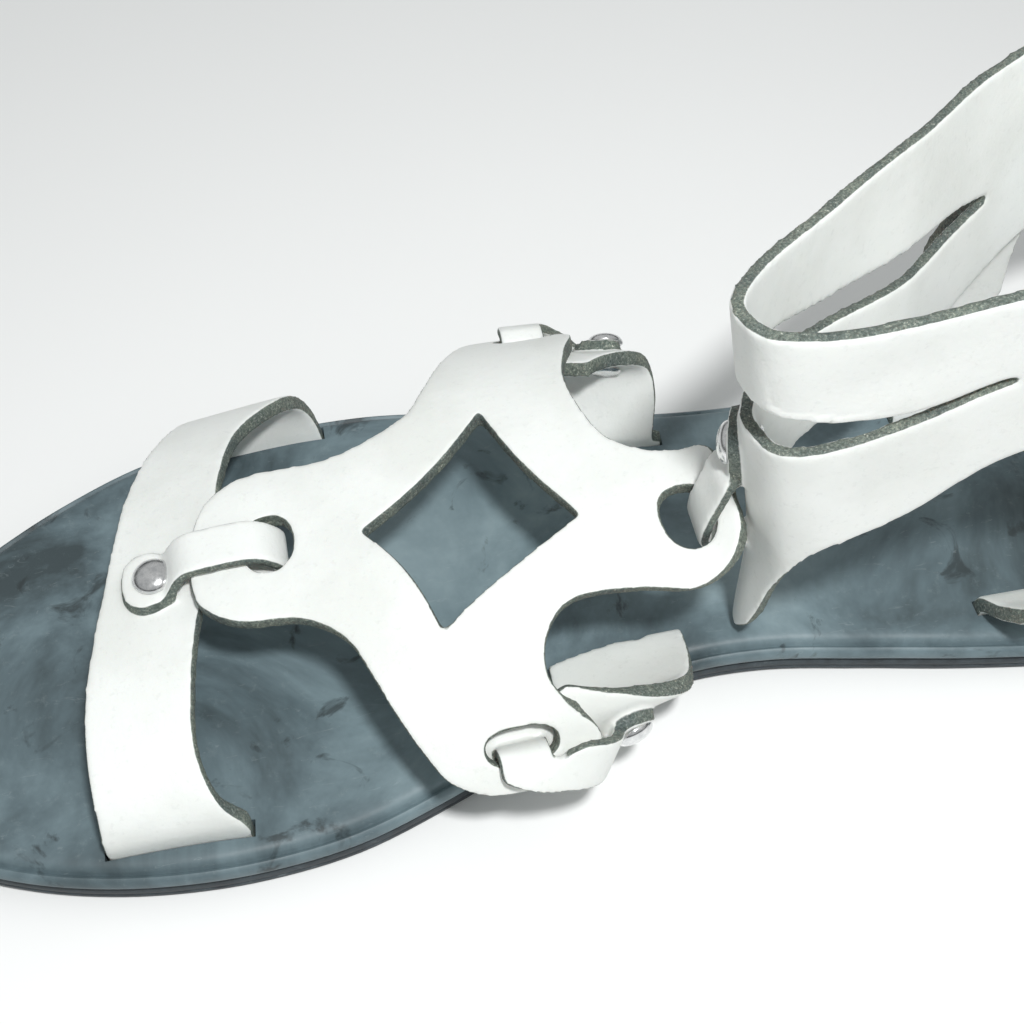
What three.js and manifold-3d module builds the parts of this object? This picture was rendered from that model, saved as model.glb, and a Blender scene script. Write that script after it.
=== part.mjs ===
// Flat strap sandal for the right foot, in millimetres.
// +X points to the toe, +Y to the inner side of the foot, +Z up.
// The origin is on the floor under the middle of the heel seat.
import * as THREE from "three";
import Module from "manifold-3d";

const wasm = await Module();
wasm.setup();

// Sole sizes
const SOLE_LENGTH = 243;
const BALL_WIDTH = 81;
const HEEL_SEAT = 30;
const OUTSOLE_THICKNESS = 3.2;
const FOOTBED_THICKNESS = 4;
const WAIST_RISE = 0.8;
const TOE_SPRING = 3.5;
const TOE_SPRING_START = 0.82;

// Leather sizes
const LEATHER = 2.6;
const TONGUE_LEATHER = 1.8;
const TONGUE_WIDTH = 7.4;
const CLEARANCE = 0.3;
const FUSE = 0.2;
const SAG = 0.2;

// Rivet sizes
const RIVET_HEAD_RADIUS = 3;
const RIVET_HEAD_HEIGHT = 1.9;
const RIVET_SHANK_RADIUS = 1.2;
const RIVET_CAP_RADIUS = 2.6;
const RIVET_CAP_HEIGHT = 0.8;
const RIVET_SIDES = 10;
const SEAT_REACH = 2.5;

// Ankle cuff sizes
const CUFF_LEATHER = 2;
const CUFF_TOP = 80;
const CUFF_LOW = 30;

// How fine the curved pieces are
const SOLE_STATIONS = 34;
const LAST_POWER = 2.5;
const BELOW_EQUATOR = 0.28;

const FOOTBED_BOTTOM = OUTSOLE_THICKNESS + CLEARANCE;
const FOOTBED_TOP = FOOTBED_BOTTOM + FOOTBED_THICKNESS;
const UNDER_LIFT = -(LEATHER + CLEARANCE + SAG);
const TONGUE_RISE = TONGUE_LEATHER - FUSE;
const UP = new THREE.Vector3(0, 0, 1);
const toMedial = new THREE.Vector3(0, 1, 0);
const toLateral = new THREE.Vector3(0, -1, 0);
const toToe = new THREE.Vector3(1, 0, 0);

const table = (names, rows) =>
  rows.map((row) => Object.fromEntries(names.map((name, i) => [name, row[i]])));

// Half of each side of the sole, as shares of the length and of the ball width
const OUTLINE = table(["at", "medial", "lateral"], [
  [0, -0.012, -0.012],
  [0.016, 0.167, -0.198],
  [0.049, 0.265, -0.302],
  [0.099, 0.325, -0.362],
  [0.156, 0.344, -0.385],
  [0.214, 0.337, -0.39],
  [0.28, 0.307, -0.389],
  [0.346, 0.268, -0.39],
  [0.412, 0.233, -0.401],
  [0.465, 0.233, -0.422],
  [0.519, 0.269, -0.457],
  [0.576, 0.341, -0.496],
  [0.63, 0.407, -0.521],
  [0.683, 0.458, -0.523],
  [0.741, 0.479, -0.514],
  [0.798, 0.473, -0.477],
  [0.856, 0.441, -0.394],
  [0.905, 0.39, -0.291],
  [0.947, 0.323, -0.183],
  [0.979, 0.23, -0.064],
  [1, 0.074, 0.074],
]);

// The form the straps are bent over: half widths and rise as shares of the ball width
const LAST = table(["at", "centre", "medial", "lateral", "rise"], [
  [0.37, 0.025, 0.42, 0.469, 0.407],
  [0.444, 0.025, 0.432, 0.494, 0.37],
  [0.514, 0, 0.457, 0.515, 0.34],
  [0.597, 0, 0.519, 0.535, 0.309],
  [0.679, 0, 0.494, 0.55, 0.272],
  [0.761, 0, 0.469, 0.527, 0.241],
  [0.864, 0, 0.469, 0.5, 0.198],
]);

// Outline of the star, one list for each side between two arms: share of the length, degrees round the last
const STAR_SIDES = [
  [
    [0.7585, 10],
    [0.758, -4],
    [0.753, -19],
    [0.741, -30],
    [0.717, -34.5],
    [0.666, -31.7],
    [0.619, -36.9],
    [0.603, -45],
    [0.586, -55.7],
    [0.568, -64.7],
    [0.555, -72],
    [0.529, -74.5],
  ],
  [
    [0.529, -74.5],
    [0.502, -70.5],
    [0.494, -59.1],
    [0.505, -47.2],
    [0.512, -33.8],
    [0.502, -13],
    [0.483, -4.5],
    [0.461, -1],
    [0.444, 1.5],
    [0.4385, 10.8],
    [0.4385, 18],
  ],
  [
    [0.4385, 18],
    [0.439, 27.3],
    [0.451, 34.6],
    [0.473, 39],
    [0.504, 38.5],
    [0.542, 39.2],
    [0.56, 45.5],
    [0.565, 53.3],
    [0.558, 58.7],
    [0.543, 65],
    [0.54, 70],
    [0.555, 73.8],
    [0.584, 75],
  ],
  [
    [0.584, 75],
    [0.609, 74.2],
    [0.628, 71.2],
    [0.638, 67],
    [0.651, 59.1],
    [0.661, 50.8],
    [0.674, 40],
    [0.698, 32.7],
    [0.733, 30.4],
    [0.754, 22],
    [0.7585, 10],
  ],
];

// Corners of the diamond hole: share of the length, degrees round the last
const DIAMOND = [
  [0.654, 4],
  [0.57, -31.2],
  [0.528, 16.2],
  [0.617, 42.9],
];
const DIAMOND_MIDDLE = [0.592, 9];
const DIAMOND_BULGE = 0.07;
const STAR_CURL = 3;

// The side of the star whose hollow runs closest to the diamond, and how far its columns lean past that
const NARROW_SIDE = 2;
const NARROW_EASE = 2.4;

// Slots in the star: middle, length along the sole, degrees spanned
const STAR_SLOTS = table(["at", "turn", "length", "sweep"], [
  [0.7105, -1, 7.5, 25],
  [0.5245, -63.2, 9.6, 7.2],
  [0.4674, 20.3, 7.6, 18],
  [0.586, 66, 10, 7],
]);
const [FRONT_SLOT, LATERAL_SLOT, REAR_SLOT, MEDIAL_SLOT] = STAR_SLOTS;

// The toe band's two edges by degrees round the last
const TOE_BAND = table(["turn", "rear", "front", "pull"], [
  [-104, 0.667, 0.737, 0.07],
  [-90, 0.668, 0.739, 0.07],
  [-80, 0.676, 0.749, 0.03],
  [-71, 0.69, 0.765, 0],
  [-60, 0.722, 0.785, 0],
  [-45, 0.737, 0.8, 0],
  [-20, 0.743, 0.81, 0],
  [0, 0.75, 0.816, 0],
  [25, 0.76, 0.823, 0],
  [45, 0.766, 0.829, 0],
  [61, 0.768, 0.831, 0],
  [72.5, 0.76, 0.829, 0],
  [81, 0.748, 0.829, 0.03],
  [90, 0.745, 0.83, 0.06],
  [104, 0.744, 0.831, 0.06],
]);

// Side straps: turn, place and lift of both edges, row by row from the footbed to the star
const EDGE_COLUMNS = ["rearTurn", "rear", "rearLift", "frontTurn", "front", "frontLift"];
const MEDIAL_STRAP = table(EDGE_COLUMNS, [
  [104, 0.468, -22.4, 104, 0.53, -21.2],
  [90, 0.468, -22.4, 90, 0.53, -21.2],
  [86, 0.467, -21.6, 87, 0.531, -20.6],
  [76, 0.47, -14.8, 83, 0.541, -11.4],
  [69.8, 0.479, -8.2, 79, 0.558, -4.8],
  [64, 0.506, -3.9, 75.4, 0.59, -3.3],
  [60.5, 0.531, -3.1, 71.8, 0.617, -3.1],
  [57, 0.552, -3.1, 65.1, 0.622, -3.1],
]);
const LATERAL_STRAP = table(EDGE_COLUMNS, [
  [-104, 0.433, -11.9, -104, 0.496, -12.9],
  [-90, 0.433, -11.9, -90, 0.496, -12.9],
  [-86, 0.433, -11.5, -86.5, 0.497, -12.4],
  [-76, 0.432, -7.8, -81, 0.504, -8.4],
  [-68, 0.438, -4, -75.6, 0.516, -4.7],
  [-60.5, 0.453, -3.2, -69.4, 0.531, -3.3],
  [-55, 0.473, -3.1, -64.5, 0.545, -3.1],
  [-49, 0.49, -3.1, -57.4, 0.556, -3.1],
]);

// Plan of the cuff at its top and at its low level, in shares of the ball width from the heel seat
const CUFF_PLAN = table(["topX", "topY", "lowX", "lowY"], [
  [1.012, 0.173, 0.901, 0.16],
  [1.018, 0.235, 0.895, 0.222],
  [0.985, 0.285, 0.864, 0.28],
  [0.88, 0.298, 0.778, 0.305],
  [0.617, 0.3, 0.556, 0.296],
  [0.247, 0.335, 0.235, 0.325],
  [-0.062, 0.315, -0.05, 0.31],
  [-0.272, 0.2, -0.235, 0.21],
  [-0.355, 0, -0.31, 0],
  [-0.29, -0.23, -0.25, -0.22],
  [-0.1, -0.38, -0.074, -0.34],
  [0.185, -0.41, 0.173, -0.34],
  [0.4, -0.34, 0.407, -0.22],
  [0.6, -0.197, 0.57, -0.08],
  [0.78, -0.065, 0.73, -0.005],
  [0.935, 0.062, 0.85, 0.075],
]);
const CUFF_POINTS = 60;

// Edges of the cuff and of its slit by distance round it from the middle of its front
const CUFF_EDGES = table(["round", "bottom", "top", "slitLow", "slitHigh"], [
  [-0.5, 58, 86, 70, 71],
  [-0.4, 56, 82, 66, 67],
  [-0.3, 46, 79, 58, 59],
  [-0.247, 39, 77, 54.6, 55.7],
  [-0.224, 36.5, 76.6, 53.4, 56.6],
  [-0.176, 34.5, 76.4, 53.4, 58.6],
  [-0.138, 35.5, 76.9, 54.7, 59.8],
  [-0.084, 38, 77.2, 57.4, 62.4],
  [-0.05, 35, 78.3, 59.3, 65],
  [-0.03, 26, 79.5, 60.5, 67],
  [-0.018, 15, 80.6, 61, 68.2],
  [0, 8.6, 82.6, 61.5, 69],
  [0.018, 15.5, 83.7, 62, 69.9],
  [0.026, 27, 84.2, 62.2, 70.2],
  [0.04, 38.2, 84.6, 63, 70.2],
  [0.062, 43.5, 84.1, 64.2, 69.1],
  [0.1, 47.6, 84.8, 67, 69],
  [0.145, 56, 86.8, 72, 73],
  [0.2, 60, 88, 74, 75],
  [0.3, 61, 88, 74, 75],
  [0.5, 58, 86, 70, 71],
]);
const SLIT_FAR = -0.247;
const SLIT_NEAR = 0.145;

// Free part of the cuff's tongue, from the front of the cuff under the rear arm and up through the star
const CUFF_LOOP = table(["ahead", "height"], [
  [74.8, 29.6],
  [77.6, 30.6],
  [80.4, 31.4],
  [82, 34],
  [82, 37],
  [81.5, 40],
  [80.5, 43.6],
  [79.7, 46.6],
]);
const CUFF_TONGUE_Y = 12.6;

// Heel straps: middle line of the free part, rising from the footbed, in shares of the ball width
const HEEL_STRAP = table(["ahead", "medial", "lateral", "height"], [
  [0.343, 0.222, -0.27, 3.6],
  [0.343, 0.222, -0.27, 7.6],
  [0.342, 0.232, -0.278, 9.6],
  [0.335, 0.29, -0.31, 14],
  [0.32, 0.352, -0.347, 21],
  [0.307, 0.37, -0.37, 31],
  [0.298, 0.37, -0.384, 40],
]);
const HEEL_STRAP_WIDTH = 15;

// The side tongues between their slots and their straps, slanting to the rear over the tips of the arms
const OVER_COLUMNS = ["at", "turn", "lift", "lean"];
const MEDIAL_OVER = table(OVER_COLUMNS, [
  [0.58, 71.6, 2.95, 18],
  [0.57, 72.2, 3, 42],
  [0.557, 73, 2.95, 58],
  [0.545, 74.2, 2.3, 64],
  [0.534, 75.4, 0.4, 64],
]);
const LATERAL_OVER = table(OVER_COLUMNS, [
  [0.521, -70.5, 2.8, 15],
  [0.513, -74, 2.7, 35],
  [0.501, -76, 1.7, 50],
  [0.489, -75.3, -0.5, 60],
]);

// Where the tongues lie on their straps: place across, place along, share of the width.
// The third from the end is where the rivet goes.
const TOE_TONGUE = [
  [0.5, 0.3, 1],
  [0.5, 0.48, 1],
  [0.5, 0.64, 0.95],
  [0.5, 0.77, 0.5],
];
const MEDIAL_TONGUE = [
  [0.52, 0.6, 1],
  [0.48, 0.6, 1],
  [0.43, 0.595, 1],
  [0.36, 0.58, 0.92],
  [0.32, 0.57, 0.5],
];
const LATERAL_TONGUE = [
  [0.42, 0.64, 1],
  [0.35, 0.65, 1],
  [0.28, 0.655, 1],
  [0.2, 0.655, 0.92],
  [0.15, 0.65, 0.5],
];
const CUFF_FRONT = 0.495;
const CUFF_RIVET_PLACE = [CUFF_FRONT, 0.59];
const MEDIAL_HEEL_PLACE = [0.815, 0.22];
const LATERAL_HEEL_PLACE = [0.145, 0.42];

const toX = (at) => at * SOLE_LENGTH - HEEL_SEAT;

// A smooth value of one column of a table, by the values of its key column
function lookUp(rows, key, column, value) {
  const last = rows.length - 1;
  if (value <= rows[0][key]) return rows[0][column];
  if (value >= rows[last][key]) return rows[last][column];
  let i = 0;
  while (rows[i + 1][key] < value) i += 1;
  const slope = (a, b) => (rows[b][column] - rows[a][column]) / (rows[b][key] - rows[a][key]);
  const here = slope(i, i + 1);
  const before = i > 0 ? (slope(i - 1, i) + here) / 2 : here;
  const after = i + 1 < last ? (slope(i + 1, i + 2) + here) / 2 : here;
  const step = rows[i + 1][key] - rows[i][key];
  const t = (value - rows[i][key]) / step;
  const start = rows[i][column];
  const end = rows[i + 1][column];
  const rise = (1 + 2 * t) * (1 - t) ** 2 * start + t * t * (3 - 2 * t) * end;
  return rise + t * (1 - t) ** 2 * step * before + t * t * (t - 1) * step * after;
}

function solidFrom(points, faces) {
  const body = new wasm.Manifold(
    new wasm.Mesh({
      numProp: 3,
      vertProperties: new Float32Array(points.flat()),
      triVerts: new Uint32Array(faces.flat()),
    }),
  );
  if (body.volume() >= 0) return body;
  return new wasm.Manifold(
    new wasm.Mesh({
      numProp: 3,
      vertProperties: new Float32Array(points.flat()),
      triVerts: new Uint32Array(faces.map(([a, b, c]) => [a, c, b]).flat()),
    }),
  );
}

// A sheet of constant thickness on a middle surface given over the unit square.
// With round set, its first and last columns meet. Cells named by open are left out of it.
function sheet(middle, columns, rows, thickness, { round = false, open = () => false } = {}) {
  const points = [];
  const step = 1e-3;
  const width = round ? columns : columns + 1;
  for (let j = 0; j <= rows; j += 1) {
    for (let i = 0; i < width; i += 1) {
      const u = i / columns;
      const v = j / rows;
      const u0 = round ? u - step : Math.max(u - step, 0);
      const u1 = round ? u + step : Math.min(u + step, 1);
      const across = middle(u1, v).sub(middle(u0, v));
      const along = middle(u, Math.min(v + step, 1)).sub(middle(u, Math.max(v - step, 0)));
      const normal = across.cross(along).normalize().multiplyScalar(thickness / 2);
      const centre = middle(u, v);
      points.push(centre.clone().add(normal).toArray());
      points.push(centre.clone().sub(normal).toArray());
    }
  }
  const at = (i, j, side) => 2 * (j * width + (round ? i % columns : i)) + side;
  const present = (i, j) => {
    if (j < 0 || j >= rows) return false;
    if (!round && (i < 0 || i >= columns)) return false;
    return !open((i + columns) % columns, j);
  };
  const faces = [];
  const quad = (a, b, c, d) => faces.push([a, b, c], [a, c, d]);
  for (let i = 0; i < columns; i += 1) {
    for (let j = 0; j < rows; j += 1) {
      if (!present(i, j)) continue;
      const [a, b, c, d] = [[i, j], [i + 1, j], [i + 1, j + 1], [i, j + 1]];
      const wall = (p, q) => quad(at(...p, 1), at(...q, 1), at(...q, 0), at(...p, 0));
      quad(at(...a, 0), at(...b, 0), at(...c, 0), at(...d, 0));
      quad(at(...a, 1), at(...d, 1), at(...c, 1), at(...b, 1));
      if (!present(i, j - 1)) wall(a, b);
      if (!present(i + 1, j)) wall(b, c);
      if (!present(i, j + 1)) wall(c, d);
      if (!present(i - 1, j)) wall(d, a);
    }
  }
  return solidFrom(points, faces);
}

// The sole, as rings of its outline set in from the edge at given heights
const bendOf = (share) => {
  const toe = Math.max(0, (share - TOE_SPRING_START) / (1 - TOE_SPRING_START));
  return TOE_SPRING * toe * toe;
};
const archOf = (share) => {
  const waist = THREE.MathUtils.clamp((share - 0.3) / 0.25, 0, 1);
  return WAIST_RISE * Math.sin(Math.PI * waist) ** 2;
};
const spacing = (share) => Math.acos(1 - 2 * share) / Math.PI;
const OUTLINE_ROWS = OUTLINE.map((row) => ({ ...row, key: spacing(row.at) }));

function outlineRing() {
  const ring = [];
  for (let k = 0; k <= SOLE_STATIONS; k += 1) {
    const key = k / SOLE_STATIONS;
    const at = (1 - Math.cos(Math.PI * key)) / 2;
    ring.push([toX(at), BALL_WIDTH * lookUp(OUTLINE_ROWS, "key", "medial", key)]);
  }
  for (let k = SOLE_STATIONS - 1; k > 0; k -= 1) {
    const key = k / SOLE_STATIONS;
    const at = (1 - Math.cos(Math.PI * key)) / 2;
    ring.push([toX(at), BALL_WIDTH * lookUp(OUTLINE_ROWS, "key", "lateral", key)]);
  }
  return ring;
}
const OUTLINE_RING = outlineRing();

function insetRing(inset) {
  const count = OUTLINE_RING.length;
  return OUTLINE_RING.map(([x, y], i) => {
    const [xa, ya] = OUTLINE_RING[(i + count - 1) % count];
    const [xb, yb] = OUTLINE_RING[(i + 1) % count];
    const length = Math.hypot(xb - xa, yb - ya);
    return [x + ((yb - ya) / length) * inset, y - ((xb - xa) / length) * inset];
  });
}

function soleLayer(levels) {
  const count = OUTLINE_RING.length;
  const points = [];
  for (const { inset, height, flat } of levels) {
    for (const [x, y] of insetRing(inset)) {
      const share = THREE.MathUtils.clamp((x + HEEL_SEAT) / SOLE_LENGTH, 0, 1);
      points.push([x, y, height + bendOf(share) + (flat ? archOf(share) : 0)]);
    }
  }
  const faces = [];
  for (let level = 0; level + 1 < levels.length; level += 1) {
    for (let i = 0; i < count; i += 1) {
      const a = level * count + i;
      const b = level * count + ((i + 1) % count);
      faces.push([a, a + count, b + count], [a, b + count, b]);
    }
  }
  const top = (levels.length - 1) * count;
  const side = (k) => (count - k) % count;
  for (let k = 0; k < SOLE_STATIONS; k += 1) {
    const [a, b, c, d] = [k, k + 1, side(k + 1), side(k)];
    const lower = [a, b, c, d];
    const upper = lower.map((i) => i + top);
    if (k > 0) {
      faces.push([lower[0], lower[2], lower[3]]);
      faces.push([upper[0], upper[3], upper[2]]);
    }
    if (k + 1 < SOLE_STATIONS) {
      faces.push([lower[0], lower[1], lower[2]]);
      faces.push([upper[0], upper[2], upper[1]]);
    }
  }
  return solidFrom(points, faces);
}

// Surface coordinates of the last: place along the sole, degrees from the crown, lift off the star's middle
function lastSurface(at, turn) {
  const centre = lookUp(LAST, "at", "centre", at);
  const half = BALL_WIDTH * lookUp(LAST, "at", turn > 0 ? "medial" : "lateral", at);
  const rise = BALL_WIDTH * lookUp(LAST, "at", "rise", at);
  const angle = THREE.MathUtils.degToRad(Math.min(Math.abs(turn), 90));
  const outward = Math.sin(angle);
  const upward = Math.max(Math.cos(angle), 0);
  const sum = (outward / half) ** LAST_POWER + (upward / rise) ** LAST_POWER;
  const radius = sum ** (-1 / LAST_POWER);
  const below = Math.max(0, Math.abs(turn) - 90) * BELOW_EQUATOR;
  const y = BALL_WIDTH * centre + Math.sign(turn) * radius * outward;
  return new THREE.Vector3(toX(at), y, FOOTBED_TOP + radius * upward - below);
}

function lastNormal(at, turn) {
  const near = Math.min(Math.max(turn, -88), 88);
  const along = lastSurface(at + 2e-3, near).sub(lastSurface(at - 2e-3, near));
  const over = lastSurface(at, near + 0.5).sub(lastSurface(at, near - 0.5));
  const normal = along.cross(over).normalize();
  if (Math.abs(turn) > 88) normal.set(0, Math.sign(turn), 0);
  return normal;
}

const onLast = (at, turn, lift) =>
  lastSurface(at, turn).add(lastNormal(at, turn).multiplyScalar(lift));

// A point on a smooth line through points given as lists of numbers
function throughPoints(list, t, closed = false) {
  const count = list.length;
  const span = closed ? count : count - 1;
  const place = Math.min(Math.max(t, closed ? -1 : 0), closed ? 2 : 1) * span;
  const i = Math.min(Math.floor(place), closed ? place : span - 1);
  const f = place - i;
  const pick = (k) => {
    if (closed) return list[(((i + k) % count) + count) % count];
    return list[THREE.MathUtils.clamp(i + k, 0, count - 1)];
  };
  const [a, b, c, d] = [pick(-1), pick(0), pick(1), pick(2)];
  return b.map((_, n) => {
    const first = (c[n] - a[n]) / 2;
    const second = (d[n] - b[n]) / 2;
    const from = (1 + 2 * f) * (1 - f) ** 2 * b[n] + f * f * (3 - 2 * f) * c[n];
    return from + f * (1 - f) ** 2 * first + f * f * (f - 1) * second;
  });
}

// The star: rings between its diamond hole and its outline
const STAR_QUARTER = 16;
const STAR_RINGS = 6;

function starCurl(at, turn) {
  const reach = THREE.MathUtils.clamp((0.478 - at) / 0.038, 0, 1);
  return Math.abs(turn) < 60 ? STAR_CURL * reach * reach : 0;
}

function starPlace(u, v) {
  const place = (((u % 1) + 1) % 1) * 4;
  const quarter = Math.min(Math.floor(place), 3);
  const f = place - quarter;
  const from = DIAMOND[quarter];
  const to = DIAMOND[(quarter + 1) % 4];
  const bulge = 1 - DIAMOND_BULGE * Math.sin(Math.PI * f);
  const share = quarter === NARROW_SIDE ? 1 - (1 - f) ** NARROW_EASE : f;
  const inner = from.map((value, n) => {
    const straight = value + (to[n] - value) * share;
    return DIAMOND_MIDDLE[n] + (straight - DIAMOND_MIDDLE[n]) * bulge;
  });
  const outer = throughPoints(STAR_SIDES[quarter], f);
  const at = inner[0] + (outer[0] - inner[0]) * v;
  const turn = inner[1] + (outer[1] - inner[1]) * v;
  return [at, turn];
}

function starMiddle(u, v) {
  const [at, turn] = starPlace(u, v);
  return onLast(at, turn, starCurl(at, turn));
}

// A slot cutter that stands across the last
function slotCutter({ at, turn, length, sweep }) {
  const middle = (u, v) => {
    const angle = 2 * Math.PI * u;
    const x = Math.sign(Math.cos(angle)) * Math.abs(Math.cos(angle)) ** 0.35;
    const y = Math.sign(Math.sin(angle)) * Math.abs(Math.sin(angle)) ** 0.35;
    const reach = 3.4 * (2 * v - 1);
    return [at + (x * length) / 2 / SOLE_LENGTH, turn + (y * sweep) / 2, reach];
  };
  const around = 12;
  const points = [];
  for (let j = 0; j <= 1; j += 1) {
    for (let i = 0; i < around; i += 1) {
      const [a, t, lift] = middle(i / around, j);
      points.push(onLast(a, t, lift + starCurl(a, t)).toArray());
    }
  }
  const faces = [];
  for (let i = 0; i < around; i += 1) {
    const n = (i + 1) % around;
    faces.push([i, n, n + around], [i, n + around, i + around]);
    if (i > 0 && n > 0) {
      faces.push([0, n, i], [around, i + around, n + around]);
    }
  }
  return solidFrom(points, faces);
}

// Toe band and its tongue
function toeBandMiddle(u, v) {
  const turn = THREE.MathUtils.lerp(TOE_BAND[0].turn, TOE_BAND[TOE_BAND.length - 1].turn, u);
  const rear = lookUp(TOE_BAND, "turn", "rear", turn);
  const front = lookUp(TOE_BAND, "turn", "front", turn);
  const pull = lookUp(TOE_BAND, "turn", "pull", turn);
  const point = onLast(THREE.MathUtils.lerp(rear, front, v), turn, UNDER_LIFT);
  point.y *= 1 - pull;
  return point;
}

// Degrees round the last that a distance over its surface takes
function turnAfter(at, turn, distance) {
  const steps = 12;
  let angle = turn;
  for (let i = 0; i < steps; i += 1) {
    const perDegree = lastSurface(at, angle + 0.5).distanceTo(lastSurface(at, angle - 0.5));
    angle += distance / steps / perDegree;
  }
  return angle;
}

// A ribbon through rows of a centre, a direction across and a width
function ribbon(rows) {
  const list = [];
  let before = null;
  for (const { centre, side, width } of rows) {
    const across = side.clone().normalize();
    if (before && before.dot(across) < 0) across.negate();
    before = across;
    list.push([...centre.toArray(), ...across.toArray(), width]);
  }
  return (u, v) => {
    const [x, y, z, sx, sy, sz, width] = throughPoints(list, v);
    const across = new THREE.Vector3(sx, sy, sz).normalize();
    return new THREE.Vector3(x, y, z).addScaledVector(across, (u - 0.5) * width);
  };
}

// The hairpin of a tongue round the tip of an arm: distance out from the slot's near edge, and lift
const HAIRPIN_REACH = LEATHER / 2 + CLEARANCE + TONGUE_LEATHER / 2 + 0.1;
const HAIRPIN_CENTRE = 0.8;
function hairpin(bridge) {
  const over = HAIRPIN_REACH;
  const bend = over * 0.74;
  return [
    [bridge * 0.9, UNDER_LIFT],
    [HAIRPIN_CENTRE + 1.6, -over - SAG],
    [HAIRPIN_CENTRE, -over - SAG],
    [HAIRPIN_CENTRE - bend, -bend],
    [HAIRPIN_CENTRE - over, 0],
    [HAIRPIN_CENTRE - bend, bend],
    [HAIRPIN_CENTRE, over],
  ];
}

// Rows of a tongue round the tip of an arm that points along the foot
function toeHairpin({ at, turn, length }, tip) {
  const edge = at + length / 2 / SOLE_LENGTH;
  const bridge = (tip - edge) * SOLE_LENGTH;
  const over = [
    [bridge * 0.6, HAIRPIN_REACH + 0.05],
    [bridge + 0.7, HAIRPIN_REACH - 0.1],
    [bridge + 1.8, HAIRPIN_REACH - 1.9],
  ];
  return [...hairpin(bridge), ...over].map(([out, lift]) => {
    const place = edge + out / SOLE_LENGTH;
    const side = onLast(place, turn + 2, lift).sub(onLast(place, turn - 2, lift));
    return { centre: onLast(place, turn, lift), side, width: TONGUE_WIDTH };
  });
}

// The same round the tip of an arm that points down the side, then over it along rows of their own
function sideHairpin({ at, turn, sweep }, tip, overRows) {
  const away = Math.sign(turn);
  const edge = turn + (away * sweep) / 2;
  const bridge = lastSurface(at, edge).distanceTo(lastSurface(at, tip));
  const bend = hairpin(bridge).map(([out, lift]) => [at, turnAfter(at, edge, away * out), lift, 0]);
  const over = overRows.map((row) => OVER_COLUMNS.map((name) => row[name]));
  return [...bend, ...over].map(([place, angle, lift, lean]) => {
    const along = onLast(place + 4e-3, angle, lift).sub(onLast(place - 4e-3, angle, lift));
    const down = onLast(place, angle + away, lift).sub(onLast(place, angle - away, lift));
    const slant = THREE.MathUtils.degToRad(lean);
    const side = along.normalize().multiplyScalar(Math.cos(slant));
    side.addScaledVector(down.normalize(), Math.sin(slant));
    return { centre: onLast(place, angle, lift), side, width: TONGUE_WIDTH };
  });
}

// The outward normal of a sheet's middle surface
function facing(middle, u, v, outward) {
  const step = 1e-3;
  const across = middle(u + step, v).sub(middle(u - step, v));
  const along = middle(u, Math.min(v + step, 1)).sub(middle(u, Math.max(v - step, 0)));
  const normal = across.cross(along).normalize();
  return normal.dot(outward) < 0 ? normal.negate() : normal;
}

// Rows that lie a distance off a sheet's middle surface, at places given on it with shares of a width
function rowsOn(middle, places, outward, offset, width) {
  const normals = places.map(([u, v]) => facing(middle, u, v, outward));
  const centres = places.map(([u, v], i) => middle(u, v).addScaledVector(normals[i], offset));
  const last = places.length - 1;
  return places.map(([, , share], i) => {
    const path = centres[Math.min(i + 1, last)].clone().sub(centres[Math.max(i - 1, 0)]);
    return { centre: centres[i], side: normals[i].clone().cross(path), width: width * share };
  });
}

function strapMiddle(rows) {
  const rear = rows.map((row) => [row.rear, row.rearTurn, row.rearLift]);
  const front = rows.map((row) => [row.front, row.frontTurn, row.frontLift]);
  return (u, v) => {
    const a = throughPoints(rear, v);
    const b = throughPoints(front, v);
    const mix = a.map((value, n) => THREE.MathUtils.lerp(value, b[n], u));
    return onLast(mix[0], mix[1], mix[2]);
  };
}

// Ankle cuff
const CUFF_PLAN_TOP = CUFF_PLAN.map((row) => [row.topX * BALL_WIDTH, row.topY * BALL_WIDTH]);
const CUFF_PLAN_LOW = CUFF_PLAN.map((row) => [row.lowX * BALL_WIDTH, row.lowY * BALL_WIDTH]);

// Position round the ring by real distance, so that shares of the round are even
const RING_STEPS = 400;
const ringLengths = [0];
for (let i = 1; i <= RING_STEPS; i += 1) {
  const a = throughPoints(CUFF_PLAN_TOP, (i - 1) / RING_STEPS, true);
  const b = throughPoints(CUFF_PLAN_TOP, i / RING_STEPS, true);
  ringLengths.push(ringLengths[i - 1] + Math.hypot(b[0] - a[0], b[1] - a[1]));
}
const RING_LENGTH = ringLengths[RING_STEPS];

function ringPlace(round) {
  const share = ((round % 1) + 1) % 1;
  const goal = share * RING_LENGTH;
  let i = 0;
  while (i < RING_STEPS - 1 && ringLengths[i + 1] < goal) i += 1;
  const f = (goal - ringLengths[i]) / (ringLengths[i + 1] - ringLengths[i]);
  return (i + f) / RING_STEPS;
}

function cuffPoint(round, height) {
  const t = ringPlace(round);
  const top = throughPoints(CUFF_PLAN_TOP, t, true);
  const low = throughPoints(CUFF_PLAN_LOW, t, true);
  const f = (height - CUFF_LOW) / (CUFF_TOP - CUFF_LOW);
  const x =THREE.MathUtils.lerp(low[0], top[0], f);
  const y = THREE.MathUtils.lerp(low[1], top[1], f);
  return new THREE.Vector3(x, y, height);
}

// The columns of the cuff stand closer in front than behind
const CUFF_CLOSE = 0.3;
function cuffRound(u) {
  const side = 2 * u - 1;
  return side * (CUFF_CLOSE + (0.5 - CUFF_CLOSE) * side * side);
}

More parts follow.
